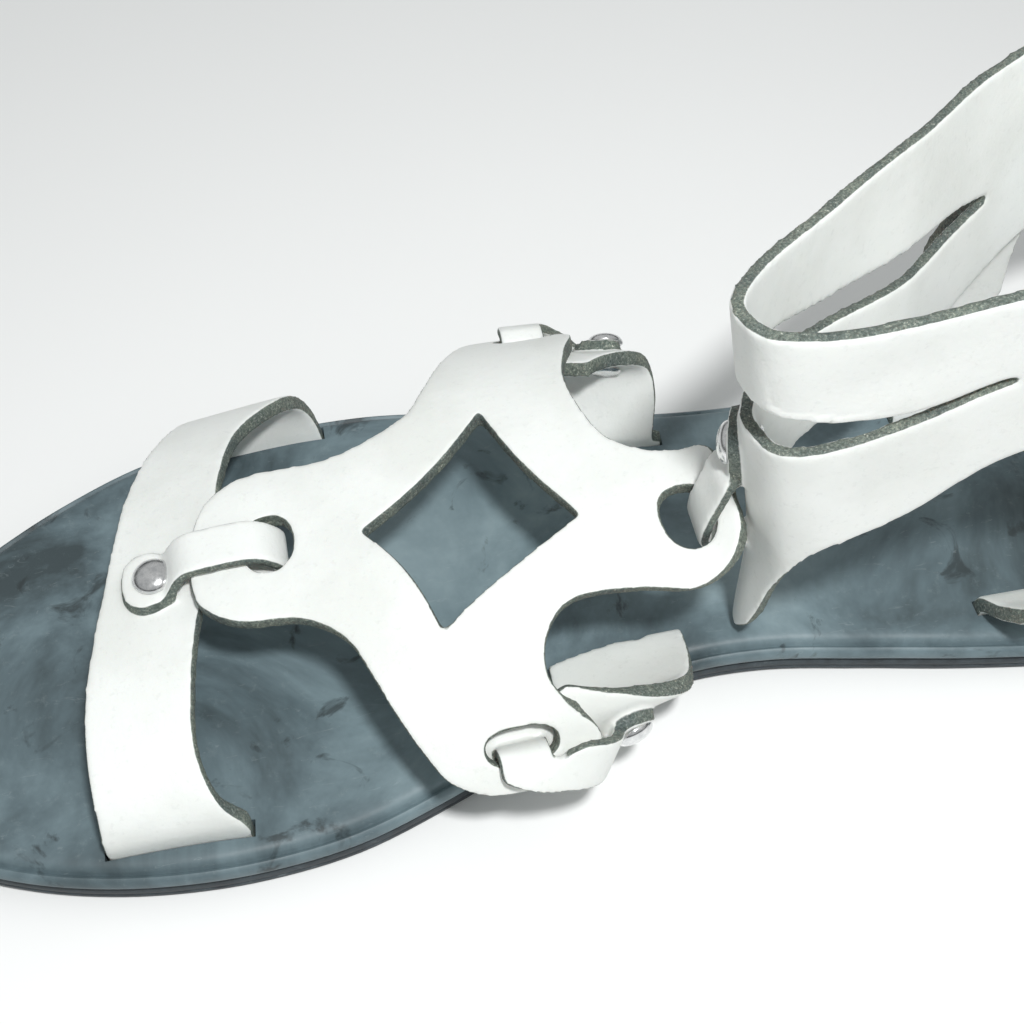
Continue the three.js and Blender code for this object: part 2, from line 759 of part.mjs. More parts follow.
function cuffMiddle(u, v) {
  const round = cuffRound(u);
  const bottom = lookUp(CUFF_EDGES, "round", "bottom", round);
  const top = lookUp(CUFF_EDGES, "round", "top", round);
  return cuffPoint(round, THREE.MathUtils.lerp(bottom, top, v));
}

// The same, with its two inner rows along the edges of the slit
function cuffBands(u, v) {
  const round = cuffRound(u);
  const names = ["bottom", "slitLow", "slitHigh", "top"];
  const band = Math.min(Math.floor(v * 3), 2);
  const [from, to] = [names[band], names[band + 1]].map((n) => lookUp(CUFF_EDGES, "round", n, round));
  return cuffPoint(round, THREE.MathUtils.lerp(from, to, v * 3 - band));
}

const inSlit = (i, j) =>
  j === 1 && cuffRound(i / CUFF_POINTS) >= SLIT_FAR && cuffRound((i + 1) / CUFF_POINTS) <= SLIT_NEAR;

// The cuff's tongue: rooted in the cuff, free through the star, then flat on the front of the cuff
function cuffTongueRows() {
  const inside = [0.21, 0.25].map((v) => [CUFF_FRONT, v, 0.4]);
  const flat = [
    [CUFF_FRONT, 0.53, 1],
    [CUFF_FRONT, 0.57, 1],
    [CUFF_FRONT, 0.61, 1],
    [CUFF_FRONT, 0.64, 0.9],
    [CUFF_FRONT, 0.665, 0.5],
  ];
  const free = CUFF_LOOP.map(({ ahead, height }) => ({
    centre: new THREE.Vector3(ahead, CUFF_TONGUE_Y, height),
    side: toMedial,
    width: TONGUE_WIDTH,
  }));
  return [
    ...rowsOn(cuffMiddle, inside, toToe, 0, TONGUE_WIDTH),
    ...free,
    ...rowsOn(cuffMiddle, flat, toToe, CUFF_LEATHER / 2 + TONGUE_RISE / 2, TONGUE_WIDTH),
  ];
}

// A heel strap: free from the footbed up, then flat against the outer face of the cuff
function heelStrapRows(side, round, rivetHeight) {
  const free = HEEL_STRAP.map((row) => ({
    centre: new THREE.Vector3(row.ahead, row[side], row.height / BALL_WIDTH).multiplyScalar(BALL_WIDTH),
    side: toToe,
    width: HEEL_STRAP_WIDTH,
  }));
  const outward = side === "medial" ? toMedial : toLateral;
  const places = [
    [round, rivetHeight - 0.16, 1],
    [round, rivetHeight, 1],
    [round, rivetHeight + 0.12, 0.9],
    [round, rivetHeight + 0.17, 0.5],
  ];
  const offset = CUFF_LEATHER / 2 + CLEARANCE + LEATHER / 2;
  return [...free, ...rowsOn(cuffMiddle, places, outward, offset, HEEL_STRAP_WIDTH)];
}

// A slot in the footbed round the foot of a strap
function footSlot(middle, columns) {
  const foot = (u, v) => {
    const point = middle(THREE.MathUtils.lerp(-0.04, 1.04, u), 0);
    point.z = THREE.MathUtils.lerp(FOOTBED_BOTTOM - 2, FOOTBED_TOP + 2, v);
    return point;
  };
  return sheet(foot, columns, 1, LEATHER + 2 * CLEARANCE);
}

// Rivets
function rivetProfile(grip) {
  const profile = [];
  const rise = RIVET_HEAD_HEIGHT;
  for (let i = 0; i <= 4; i += 1) {
    const angle = (i / 4) * (Math.PI / 2);
    profile.push([RIVET_HEAD_RADIUS * Math.sin(angle), CLEARANCE / 2 + rise * Math.cos(angle)]);
  }
  const inner = -grip - CLEARANCE / 2;
  profile.push([RIVET_SHANK_RADIUS, CLEARANCE / 2]);
  profile.push([RIVET_SHANK_RADIUS, inner]);
  profile.push([RIVET_CAP_RADIUS, inner]);
  profile.push([RIVET_CAP_RADIUS * 0.9, inner - RIVET_CAP_HEIGHT]);
  profile.push([0, inner - RIVET_CAP_HEIGHT]);
  return profile.map(([r, h]) => new THREE.Vector2(r, h)).reverse();
}

function lathed(profile, origin, axis) {
  const geometry = new THREE.LatheGeometry(profile, RIVET_SIDES);
  const turnTo = new THREE.Quaternion().setFromUnitVectors(new THREE.Vector3(0, 1, 0), axis);
  geometry.applyQuaternion(turnTo);
  geometry.translate(origin.x, origin.y, origin.z);
  const rings = RIVET_SIDES;
  const count = profile.length;
  const at = geometry.getAttribute("position");
  const points = [];
  for (let i = 0; i < rings; i += 1) {
    for (let j = 0; j < count; j += 1) {
      const k = i * count + j;
      points.push([at.getX(k), at.getY(k), at.getZ(k)]);
    }
  }
  const faces = [];
  const pick = (i, j) => {
    if (j === 0) return 0;
    if (j === count - 1) return count - 1;
    return (i % rings) * count + j;
  };
  for (let i = 0; i < rings; i += 1) {
    for (let j = 0; j + 1 < count; j += 1) {
      const quad = [pick(i, j), pick(i + 1, j), pick(i + 1, j + 1), pick(i, j + 1)];
      if (j > 0) faces.push([quad[0], quad[1], quad[2]]);
      if (j + 2 < count) faces.push([quad[0], quad[2], quad[3]]);
    }
  }
  const used = [...new Set(faces.flat())];
  const order = new Map(used.map((old, n) => [old, n]));
  return solidFrom(used.map((n) => points[n]), faces.map((f) => f.map((n) => order.get(n))));
}

// A rivet through a sheet and what lies on its outer face, with the hole that it needs
function rivetOn(middle, [u, v], outward, leather, added) {
  const axis = facing(middle, u, v, outward);
  const origin = middle(u, v).addScaledVector(axis, leather / 2 + added);
  const grip = leather + added;
  const hole = [
    [0, -grip - SEAT_REACH],
    [RIVET_CAP_RADIUS + CLEARANCE, -grip - SEAT_REACH],
    [RIVET_CAP_RADIUS + CLEARANCE, -grip],
    [RIVET_SHANK_RADIUS + CLEARANCE, -grip],
    [RIVET_SHANK_RADIUS + CLEARANCE, 0],
    [RIVET_HEAD_RADIUS + CLEARANCE, 0],
    [RIVET_HEAD_RADIUS + CLEARANCE, SEAT_REACH],
    [0, SEAT_REACH],
  ].map(([r, h]) => new THREE.Vector2(r, h));
  return { body: lathed(rivetProfile(grip), origin, axis), hole: lathed(hole, origin, axis) };
}

// Materials
const rubber = { color: 0x23272b, roughness: 0.75 };
const bed = { color: 0x3a434c, roughness: 0.7 };
const leather = { color: 0xf2f3ee, roughness: 0.6 };
const nickel = { color: 0xc9ccd0, roughness: 0.25, metalness: 1 };

const sandal = new THREE.Group();
function add(name, body, look) {
  const data = body.getMesh();
  const geometry = new THREE.BufferGeometry();
  geometry.setAttribute("position", new THREE.BufferAttribute(data.vertProperties, 3));
  geometry.setIndex(new THREE.BufferAttribute(data.triVerts, 1));
  geometry.computeVertexNormals();
  const mesh = new THREE.Mesh(geometry, new THREE.MeshStandardMaterial(look));
  mesh.name = name;
  sandal.add(mesh);
}

const outsole = soleLayer([
  { inset: 1.1, height: 0, flat: true },
  { inset: 0.6, height: 0.5, flat: true },
  { inset: 0.45, height: 1.2 },
  { inset: 0.7, height: 1.5 },
  { inset: 0.45, height: 1.8 },
  { inset: 0.6, height: 2.8 },
  { inset: 1, height: OUTSOLE_THICKNESS },
]);

const rim = (share) => FOOTBED_BOTTOM + FOOTBED_THICKNESS * share;
let footbed = soleLayer([
  { inset: 1, height: rim(0) },
  { inset: 0.25, height: rim(0.13) },
  { inset: 0, height: rim(0.34) },
  { inset: 0.2, height: rim(0.55) },
  { inset: 0.8, height: rim(0.7) },
  { inset: 1.4, height: rim(0.68) },
  { inset: 1.7, height: rim(0.82) },
  { inset: 2.3, height: rim(0.95) },
  { inset: 3.4, height: rim(1) },
]);

let star = sheet(starMiddle, 4 * STAR_QUARTER, STAR_RINGS, LEATHER, { round: true });
for (const slot of STAR_SLOTS) star = star.subtract(slotCutter(slot));

const medialStrap = strapMiddle(MEDIAL_STRAP);
const lateralStrap = strapMiddle(LATERAL_STRAP);
const tipOf = (side) => STAR_SIDES[side][STAR_SIDES[side].length - 1];
const onStrap = LEATHER / 2 + TONGUE_RISE / 2;
const toeTongue = ribbon([
  ...toeHairpin(FRONT_SLOT, tipOf(3)[0]),
  ...rowsOn(toeBandMiddle, TOE_TONGUE, UP, onStrap, TONGUE_WIDTH),
]);
const medialTongue = ribbon([
  ...sideHairpin(MEDIAL_SLOT, tipOf(2)[1], MEDIAL_OVER),
  ...rowsOn(medialStrap, MEDIAL_TONGUE, toMedial, onStrap, TONGUE_WIDTH),
]);
const lateralTongue = ribbon([
  ...sideHairpin(LATERAL_SLOT, tipOf(0)[1], LATERAL_OVER),
  ...rowsOn(lateralStrap, LATERAL_TONGUE, toLateral, onStrap, TONGUE_WIDTH),
]);
const cuffTongue = ribbon(cuffTongueRows());
const medialHeel = ribbon(heelStrapRows("medial", MEDIAL_HEEL_PLACE[0], MEDIAL_HEEL_PLACE[1]));
const lateralHeel = ribbon(heelStrapRows("lateral", LATERAL_HEEL_PLACE[0], LATERAL_HEEL_PLACE[1]));

const TONGUE_COLUMNS = 1;
const withTongue = (strap, path, rows) =>
  strap.add(sheet(path, TONGUE_COLUMNS, rows, TONGUE_LEATHER));

let toeBand = withTongue(sheet(toeBandMiddle, 28, 3, LEATHER), toeTongue, 28);
let medialSide = withTongue(sheet(medialStrap, 4, 14, LEATHER), medialTongue, 28);
let lateralSide = withTongue(sheet(lateralStrap, 4, 14, LEATHER), lateralTongue, 28);
let cuff = sheet(cuffBands, CUFF_POINTS, 3, CUFF_LEATHER, { round: true, open: inSlit });
cuff = withTongue(cuff, cuffTongue, 32);
let medialHeelStrap = sheet(medialHeel, 3, 20, LEATHER);
let lateralHeelStrap = sheet(lateralHeel, 3, 20, LEATHER);

for (const [middle, columns] of [
  [medialStrap, 4],
  [lateralStrap, 4],
  [medialHeel, 3],
  [lateralHeel, 3],
]) {
  footbed = footbed.subtract(footSlot(middle, columns));
}
const turned = (middle, v) => (u) => middle(v, u);
for (const v of [0, 1]) footbed = footbed.subtract(footSlot(turned(toeBandMiddle, v), 4));

const middleOf = (places) => places[places.length - 3];
const toeRivet = rivetOn(toeBandMiddle, middleOf(TOE_TONGUE), UP, LEATHER, TONGUE_RISE);
const medialRivet = rivetOn(medialStrap, middleOf(MEDIAL_TONGUE), toMedial, LEATHER, TONGUE_RISE);
const lateralRivet = rivetOn(lateralStrap, middleOf(LATERAL_TONGUE), toLateral, LEATHER, TONGUE_RISE);
const cuffRivet = rivetOn(cuffMiddle, CUFF_RIVET_PLACE, toToe, CUFF_LEATHER, TONGUE_RISE);
const overCuff = CLEARANCE + LEATHER;
const medialHeelRivet = rivetOn(cuffMiddle, MEDIAL_HEEL_PLACE, toMedial, CUFF_LEATHER, overCuff);
const lateralHeelRivet = rivetOn(cuffMiddle, LATERAL_HEEL_PLACE, toLateral, CUFF_LEATHER, overCuff);

toeBand = toeBand.subtract(toeRivet.hole);
medialSide = medialSide.subtract(medialRivet.hole);
lateralSide = lateralSide.subtract(lateralRivet.hole);
cuff = cuff.subtract(cuffRivet.hole).subtract(medialHeelRivet.hole).subtract(lateralHeelRivet.hole);
medialHeelStrap = medialHeelStrap.subtract(medialHeelRivet.hole);
lateralHeelStrap = lateralHeelStrap.subtract(lateralHeelRivet.hole);

add("outsole", outsole, rubber);
add("footbed", footbed, bed);
add("toe_band", toeBand, leather);
add("instep_star", star, leather);
add("medial_side_strap", medialSide, leather);
add("lateral_side_strap", lateralSide, leather);
add("ankle_cuff", cuff, leather);
add("medial_heel_strap", medialHeelStrap, leather);
add("lateral_heel_strap", lateralHeelStrap, leather);
add("toe_rivet", toeRivet.body, nickel);
add("medial_side_rivet", medialRivet.body, nickel);
add("lateral_side_rivet", lateralRivet.body, nickel);
add("cuff_rivet", cuffRivet.body, nickel);
add("medial_heel_rivet", medialHeelRivet.body, nickel);
add("lateral_heel_rivet", lateralHeelRivet.body, nickel);

export default sandal;
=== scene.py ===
# %% [markdown]
# A flat strap sandal with a wide ankle cuff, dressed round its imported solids.
# The solids give the place and the size of every piece. The leather is made again here as finer, softer
# meshes over the same last, so that cut edges round off and folds look bent and not faceted.

# %% Load the frame
import math

import bmesh
import bpy
import numpy as np
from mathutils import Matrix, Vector
from mathutils.bvhtree import BVHTree


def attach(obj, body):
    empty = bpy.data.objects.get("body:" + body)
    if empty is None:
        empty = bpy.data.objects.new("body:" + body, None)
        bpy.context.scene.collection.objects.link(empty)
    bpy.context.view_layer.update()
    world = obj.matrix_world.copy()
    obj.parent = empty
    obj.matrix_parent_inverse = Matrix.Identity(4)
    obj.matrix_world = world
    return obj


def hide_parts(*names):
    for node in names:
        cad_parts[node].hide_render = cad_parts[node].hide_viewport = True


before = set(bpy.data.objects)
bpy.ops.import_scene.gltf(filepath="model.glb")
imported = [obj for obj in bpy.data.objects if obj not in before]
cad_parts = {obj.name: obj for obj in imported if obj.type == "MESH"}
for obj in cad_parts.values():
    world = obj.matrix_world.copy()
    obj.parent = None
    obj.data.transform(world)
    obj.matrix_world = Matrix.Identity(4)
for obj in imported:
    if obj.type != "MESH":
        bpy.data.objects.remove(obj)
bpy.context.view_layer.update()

MM = 0.001

# %% [markdown]
# Sizes. They are the maker's own: the sole's length and ball width drive the rest, and the tables hold
# shares of those two. Lengths are in millimetres until a mesh is made.

# %% Sizes of the sandal
SOLE_LENGTH = 243
BALL_WIDTH = 81
HEEL_SEAT = 30
OUTSOLE_THICKNESS = 3.2
FOOTBED_BOTTOM = 3.5
FOOTBED_TOP = 7.5
WAIST_RISE = 0.8
TOE_SPRING = 3.5
TOE_SPRING_START = 0.82
LEATHER = 2.6
TONGUE_LEATHER = 1.8
TONGUE_WIDTH = 7.4
CUFF_LEATHER = 2
HEEL_STRAP_WIDTH = 15
CLEARANCE = 0.3
SAG = 0.2
UNDER_LIFT = -(LEATHER + CLEARANCE + SAG)
TONGUE_RISE = TONGUE_LEATHER - 0.2
LAST_POWER = 2.5
BELOW_EQUATOR = 0.28
CUFF_TOP = 80
CUFF_LOW = 30


def table(names, rows):
    return [dict(zip(names, row)) for row in rows]


def to_x(at):
    return at * SOLE_LENGTH - HEEL_SEAT


print("sole", SOLE_LENGTH, "by", BALL_WIDTH, "mm, leather", LEATHER, "mm")

# %% [markdown]
# The last is the wooden form that straps are pulled over. It could be a sculpted mesh that straps are
# shrunk onto, but a formula is smooth at every place. A point on it is named by its place along the sole
# (at), its angle from the crown (turn) and its lift off the star's middle. With those three numbers a
# strap's outline can be written as a pattern cutter draws it, and it still bends round the foot.

# %% The last and the outline of the sole
OUTLINE = table(["at", "medial", "lateral"], [
    [0, -0.012, -0.012], [0.016, 0.167, -0.198], [0.049, 0.265, -0.302], [0.099, 0.325, -0.362],
    [0.156, 0.344, -0.385], [0.214, 0.337, -0.39], [0.28, 0.307, -0.389], [0.346, 0.268, -0.39],
    [0.412, 0.233, -0.401], [0.465, 0.233, -0.422], [0.519, 0.269, -0.457], [0.576, 0.341, -0.496],
    [0.63, 0.407, -0.521], [0.683, 0.458, -0.523], [0.741, 0.479, -0.514], [0.798, 0.473, -0.477],
    [0.856, 0.441, -0.394], [0.905, 0.39, -0.291], [0.947, 0.323, -0.183], [0.979, 0.23, -0.064],
    [1, 0.074, 0.074],
])
LAST = table(["at", "centre", "medial", "lateral", "rise"], [
    [0.37, 0.025, 0.42, 0.469, 0.407],
    [0.444, 0.025, 0.432, 0.494, 0.37],
    [0.514, 0, 0.457, 0.515, 0.34],
    [0.597, 0, 0.519, 0.535, 0.309],
    [0.679, 0, 0.494, 0.55, 0.272],
    [0.761, 0, 0.469, 0.527, 0.241],
    [0.864, 0, 0.469, 0.5, 0.198],
])


def look_up(rows, key, column, value):
    last = len(rows) - 1
    if value <= rows[0][key]:
        return rows[0][column]
    if value >= rows[last][key]:
        return rows[last][column]
    i = 0
    while rows[i + 1][key] < value:
        i += 1

    def slope(a, b):
        return (rows[b][column] - rows[a][column]) / (rows[b][key] - rows[a][key])

    here = slope(i, i + 1)
    before = (slope(i - 1, i) + here) / 2 if i > 0 else here
    after = (slope(i + 1, i + 2) + here) / 2 if i + 1 < last else here
    step = rows[i + 1][key] - rows[i][key]
    t = (value - rows[i][key]) / step
    start, end = rows[i][column], rows[i + 1][column]
    rise = (1 + 2 * t) * (1 - t) ** 2 * start + t * t * (3 - 2 * t) * end
    return rise + t * (1 - t) ** 2 * step * before + t * t * (t - 1) * step * after


def last_surface(at, turn):
    centre = look_up(LAST, "at", "centre", at)
    half = BALL_WIDTH * look_up(LAST, "at", "medial" if turn > 0 else "lateral", at)
    rise = BALL_WIDTH * look_up(LAST, "at", "rise", at)
    angle = math.radians(min(abs(turn), 90))
    outward, upward = math.sin(angle), max(math.cos(angle), 0)
    total = (outward / half) ** LAST_POWER + (upward / rise) ** LAST_POWER
    radius = total ** (-1 / LAST_POWER)
    below = max(0, abs(turn) - 90) * BELOW_EQUATOR
    side = math.copysign(1, turn) if turn else 0
    y = BALL_WIDTH * centre + side * radius * outward
    return Vector((to_x(at), y, FOOTBED_TOP + radius * upward - below))


STEEPEST_TURN = 88
AT_STEP = 2e-3
TURN_STEP = 0.5


def last_normal(at, turn):
    near = min(max(turn, -STEEPEST_TURN), STEEPEST_TURN)
    along = last_surface(at + AT_STEP, near) - last_surface(at - AT_STEP, near)
    over = last_surface(at, near + TURN_STEP) - last_surface(at, near - TURN_STEP)
    if abs(turn) > STEEPEST_TURN:
        return Vector((0, math.copysign(1, turn), 0))
    return along.cross(over).normalized()


def on_last(at, turn, lift):
    return last_surface(at, turn) + last_normal(at, turn) * lift


def through_points(points, t, closed=False):
    count = len(points)
    span = count if closed else count - 1
    place = min(max(t, -1 if closed else 0), 2 if closed else 1) * span
    i = math.floor(place) if closed else min(math.floor(place), span - 1)
    f = place - i

    def pick(k):
        return points[(i + k) % count] if closed else points[min(max(i + k, 0), count - 1)]

    a, b, c, d = (np.asarray(pick(k), float) for k in (-1, 0, 1, 2))
    mix = (1 + 2 * f) * (1 - f) ** 2 * b + f * f * (3 - 2 * f) * c
    return mix + f * (1 - f) ** 2 * (c - a) / 2 + f * f * (f - 1) * (d - b) / 2


print("crown of the last at the star:", [round(v, 1) for v in on_last(0.592, 9, 0)])

# %% [markdown]
# Cut leather. Every strap is a sheet of even thickness with raw cut edges. A plane with a solidify
# modifier would do for a plain strap, but here each sheet must be closed before it is joined to its
# tongue, and the cut walls must be known from the broad faces. So one helper takes a grid of the sheet's
# middle, thickens it both ways and closes it with walls. Cells can be left open, as the cuff's slit needs.

# %% Sheets of leather
BROAD, CUT = 0, 1


def grid_of(middle, across, along):
    return np.array([[middle(i / across, j / along) for i in range(across + 1)] for j in range(along + 1)])


def sheet(grid, thickness, round_=False, open_cells=()):
    grid = np.asarray(grid, float)
    if round_:
        wrapped = np.concatenate([grid[:, -2:-1], grid, grid[:, 1:2]], axis=1)
        du = np.gradient(wrapped, axis=1)[:, 1:-1]
    else:
        du = np.gradient(grid, axis=1)
    dv = np.gradient(grid, axis=0)
    normal = np.cross(du, dv)
    normal /= np.linalg.norm(normal, axis=2, keepdims=True) + 1e-12
    rows, columns = grid.shape[0] - 1, grid.shape[1] - 1
    width = columns if round_ else columns + 1
    outer = (grid + normal * thickness / 2)[:, :width].reshape(-1, 3)
    inner = (grid - normal * thickness / 2)[:, :width].reshape(-1, 3)
    points = np.concatenate([outer, inner])
    offset = len(outer)

    def at(i, j, side):
        return side * offset + j * width + (i % columns if round_ else i)

    def present(i, j):
        if j < 0 or j >= rows or (not round_ and (i < 0 or i >= columns)):
            return False
        return ((i + columns) % columns, j) not in open_cells

    faces, kinds = [], []
    for i in range(columns):
        for j in range(rows):
            if not present(i, j):
                continue
            a, b, c, d = (i, j), (i + 1, j), (i + 1, j + 1), (i, j + 1)
            faces.append([at(*a, 0), at(*b, 0), at(*c, 0), at(*d, 0)])
            faces.append([at(*a, 1), at(*d, 1), at(*c, 1), at(*b, 1)])
            kinds += [BROAD, BROAD]
            for there, p, q in (
                (present(i, j - 1), a, b),
                (present(i + 1, j), b, c),
                (present(i, j + 1), c, d),
                (present(i - 1, j), d, a),
            ):
                if not there:
                    faces.append([at(*p, 1), at(*q, 1), at(*q, 0), at(*p, 0)])
                    kinds.append(CUT)
    return points, faces, kinds


def mesh_object(name, parts):
    points, faces, kinds = [], [], []
    for part_points, part_faces, part_kinds in parts:
        start = len(points)
        points += [tuple(MM * v for v in p) for p in part_points]
        faces += [[start + k for k in face] for face in part_faces]
        kinds += part_kinds
    mesh = bpy.data.meshes.new(name)
    mesh.from_pydata(points, [], faces)
    mesh.materials.append(None)
    mesh.materials.append(None)
    mesh.polygons.foreach_set("material_index", kinds)
    mesh.update()
    made = bpy.data.objects.new(name, mesh)
    bpy.context.scene.collection.objects.link(made)
    face_outward(made)
    return made


def face_outward(piece):
    work = bmesh.new()
    work.from_mesh(piece.data)
    bmesh.ops.recalc_face_normals(work, faces=work.faces)
    work.to_mesh(piece.data)
    work.free()


def apply_modifiers(piece):
    bpy.context.view_layer.update()
    graph = bpy.context.evaluated_depsgraph_get()
    done = bpy.data.meshes.new_from_object(piece.evaluated_get(graph))
    old = piece.data
    piece.modifiers.clear()
    piece.data = done
    bpy.data.meshes.remove(old)


# %% [markdown]
# Soft leather. A real strap has corners that are a little round, and its tongue grows out of it without a
# step. A bevel rounds corners but can't join two sheets. A voxel remesh joins what overlaps, and smoothing
# rounds it. The remesh forgets which faces were cut walls. So each point compares its distance to the
# broad faces with its distance to the cut walls, and keeps the answer in an attribute called "cut",
# because the raw edge has a finish of its own. Creases are pressed in afterwards, at the given places.

# %% Soft leather from closed sheets
EDGE_BLEND = 1.6
EDGE_ROUNDS = 4
SMOOTH_ROUNDS = 9
CREASE_FADE = 0.6
FACING_BIAS = 0.15


def neighbour_mean(mesh, values, rounds):
    edges = np.empty(len(mesh.edges) * 2, np.int64)
    mesh.edges.foreach_get("vertices", edges)
    a, b = edges[0::2], edges[1::2]
    count = np.bincount(edges, minlength=len(values)).astype(float)
    for _ in range(rounds):
        total = np.bincount(a, values[b], len(values)) + np.bincount(b, values[a], len(values))
        values = (values + total / count) / 2
    return values


def soften(piece, voxel, creases=()):
    """Remesh to soft leather, press the creases in and mark the cut edges."""
    source = piece.data
    points = [v.co.copy() for v in source.vertices]
    kinds = {BROAD: [], CUT: []}
    for polygon in source.polygons:
        kinds[polygon.material_index].append(tuple(polygon.vertices))
    broad, cut = (BVHTree.FromPolygons(points, kinds[kind]) for kind in (BROAD, CUT))
    remesh = piece.modifiers.new("remesh", "REMESH")
    remesh.mode = "VOXEL"
    remesh.voxel_size = voxel * MM
    smooth = piece.modifiers.new("smooth", "SMOOTH")
    smooth.factor = 0.5
    smooth.iterations = SMOOTH_ROUNDS
    apply_modifiers(piece)
    mesh = piece.data
    gaps = [broad.find_nearest(v.co)[3] - cut.find_nearest(v.co)[3] for v in mesh.vertices]
    gaps = neighbour_mean(mesh, np.array(gaps), EDGE_ROUNDS)
    nearness = np.clip(0.5 + gaps / (EDGE_BLEND * MM), 0, 1)
    press(mesh, creases)
    mesh.attributes.new("cut", "FLOAT", "POINT").data.foreach_set("value", nearness)
    mesh.polygons.foreach_set("use_smooth", [True] * len(mesh.polygons))
    print(piece.name, len(mesh.polygons), "faces, cut share", round(float(nearness.mean()), 3))
    return piece


def press(mesh, creases):
    """Soft troughs and ridges: start, end, width and depth, in millimetres, below zero for a ridge."""
    if not creases:
        return
    count = len(mesh.vertices)
    place = np.empty(count * 3)
    mesh.vertices.foreach_get("co", place)
    place = place.reshape(-1, 3)
    normal = np.empty(count * 3, np.float32)
    mesh.vertices.foreach_get("normal", normal)
    normal = normal.reshape(-1, 3)
    move = np.zeros(count)
    for start, end, width, depth in creases:
        a, b = np.array(start) * MM, np.array(end) * MM
        line = b - a
        t = np.clip(((place - a) @ line) / (line @ line), 0, 1)
        gap = np.linalg.norm(place - (a + t[:, None] * line), axis=1)
        fade = 1 - CREASE_FADE * np.abs(2 * t - 1) ** 2
        move += np.exp(-((gap / (width * MM)) ** 2)) * depth * MM * fade
    facing = np.sign(normal[:, 2] + FACING_BIAS)
    place -= normal * (move * facing)[:, None]
    mesh.vertices.foreach_set("co", place.ravel())
    mesh.update()


def dress(piece, node, slot, material):
    piece.data.materials.clear()
    piece.data.materials.append(material)
    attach(piece, "root")
    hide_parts(node)
    return piece


# %% [markdown]
# Materials are node trees, because a real finish is never one colour, and a picture laid over the piece
# would stretch where the leather bends. Noise in the object's own metres needs no unwrapping. A few small
# helpers make a node, join two and give back the socket that the next step needs.

# %% Node helpers
def new_material(name):
    material = bpy.data.materials.new(name)
    material.use_nodes = True
    return material, material.node_tree.nodes["Principled BSDF"]


def add_node(material, kind, **inputs):
    node = material.node_tree.nodes.new(kind)
    for key, value in inputs.items():
        if key.startswith("set_"):
            setattr(node, key[4:], value)
        else:
            node.inputs[key.replace("_", " ")].default_value = value
    return node


def link(material, source, target):
    material.node_tree.links.new(source, target)


def ramp(material, source, stops):
    node = material.node_tree.nodes.new("ShaderNodeValToRGB")
    elements = node.color_ramp.elements
    while len(elements) < len(stops):
        elements.new(0.5)
    for element, (place, colour) in zip(elements, stops):
        element.position = place
        element.color = (*colour, 1)
    link(material, source, node.inputs["Fac"])
    return node.outputs["Color"]


def mixed(material, factor, first, second, blend="MIX"):
    node = add_node(material, "ShaderNodeMix", set_data_type="RGBA", set_blend_type=blend)
    for value, socket in ((factor, node.inputs[0]), (first, node.inputs[6]), (second, node.inputs[7])):
        if isinstance(value, (int, float)):
            socket.default_value = value
        elif isinstance(value, tuple):
            socket.default_value = (*value, 1)
        else:
            link(material, value, socket)
    return node.outputs[2]


def object_place(material):
    return add_node(material, "ShaderNodeTexCoord").outputs["Object"]


def noise_map(material, place, scale, detail=4, rough=0.55, distortion=0.0):
    node = add_node(
        material, "ShaderNodeTexNoise", Scale=scale, Detail=detail, Roughness=rough, Distortion=distortion
    )
    link(material, place, node.inputs["Vector"])
    return node.outputs["Fac"]


def bump(material, height, strength, distance, under=None):
    node = add_node(material, "ShaderNodeBump", Strength=strength, Distance=distance)
    link(material, height, node.inputs["Height"])
    if under is not None:
        link(material, under, node.inputs["Normal"])
    return node.outputs["Normal"]


# %% [markdown]
# White leather is a thick pigment over grain: nearly even in colour, faintly dirty in its hollows, with a
# fine pebble in the bump. Its cut edge shows the grey felted inside of the hide, and the brightest specks on
# it are painted highlights, glints put into the colour. Two materials on two sets of faces would give a
# stepped line. One material mixed by the "cut" attribute follows the strap's edge.

# %% White leather with its grey cut edge
BLACK, WHITE = (0, 0, 0), (1, 1, 1)
PIGMENT = [(0.38, (0.73, 0.745, 0.715)), (0.56, (0.8, 0.815, 0.79))]
PIGMENT_DIRT = [(0.3, (0.94,) * 3), (0.42, WHITE)]
# The cut edge's colours, dark to pale: the last, palest stop is a painted highlight, glints on the raw edge.
FIBRE_AND_PAINTED_GLINTS = [
    (0.34, (0.04, 0.054, 0.051)), (0.52, (0.115, 0.143, 0.135)),
    (0.63, (0.23, 0.26, 0.242)), (0.7, (0.7, 0.72, 0.68)),
]
FIBRE_TINT = [(0.3, (0.75, 0.78, 0.78)), (0.65, (1.3, 1.25, 1.12))]
RAGGEDNESS = 0.16
EDGE_LINE = [(0.5, BLACK), (0.6, WHITE)]


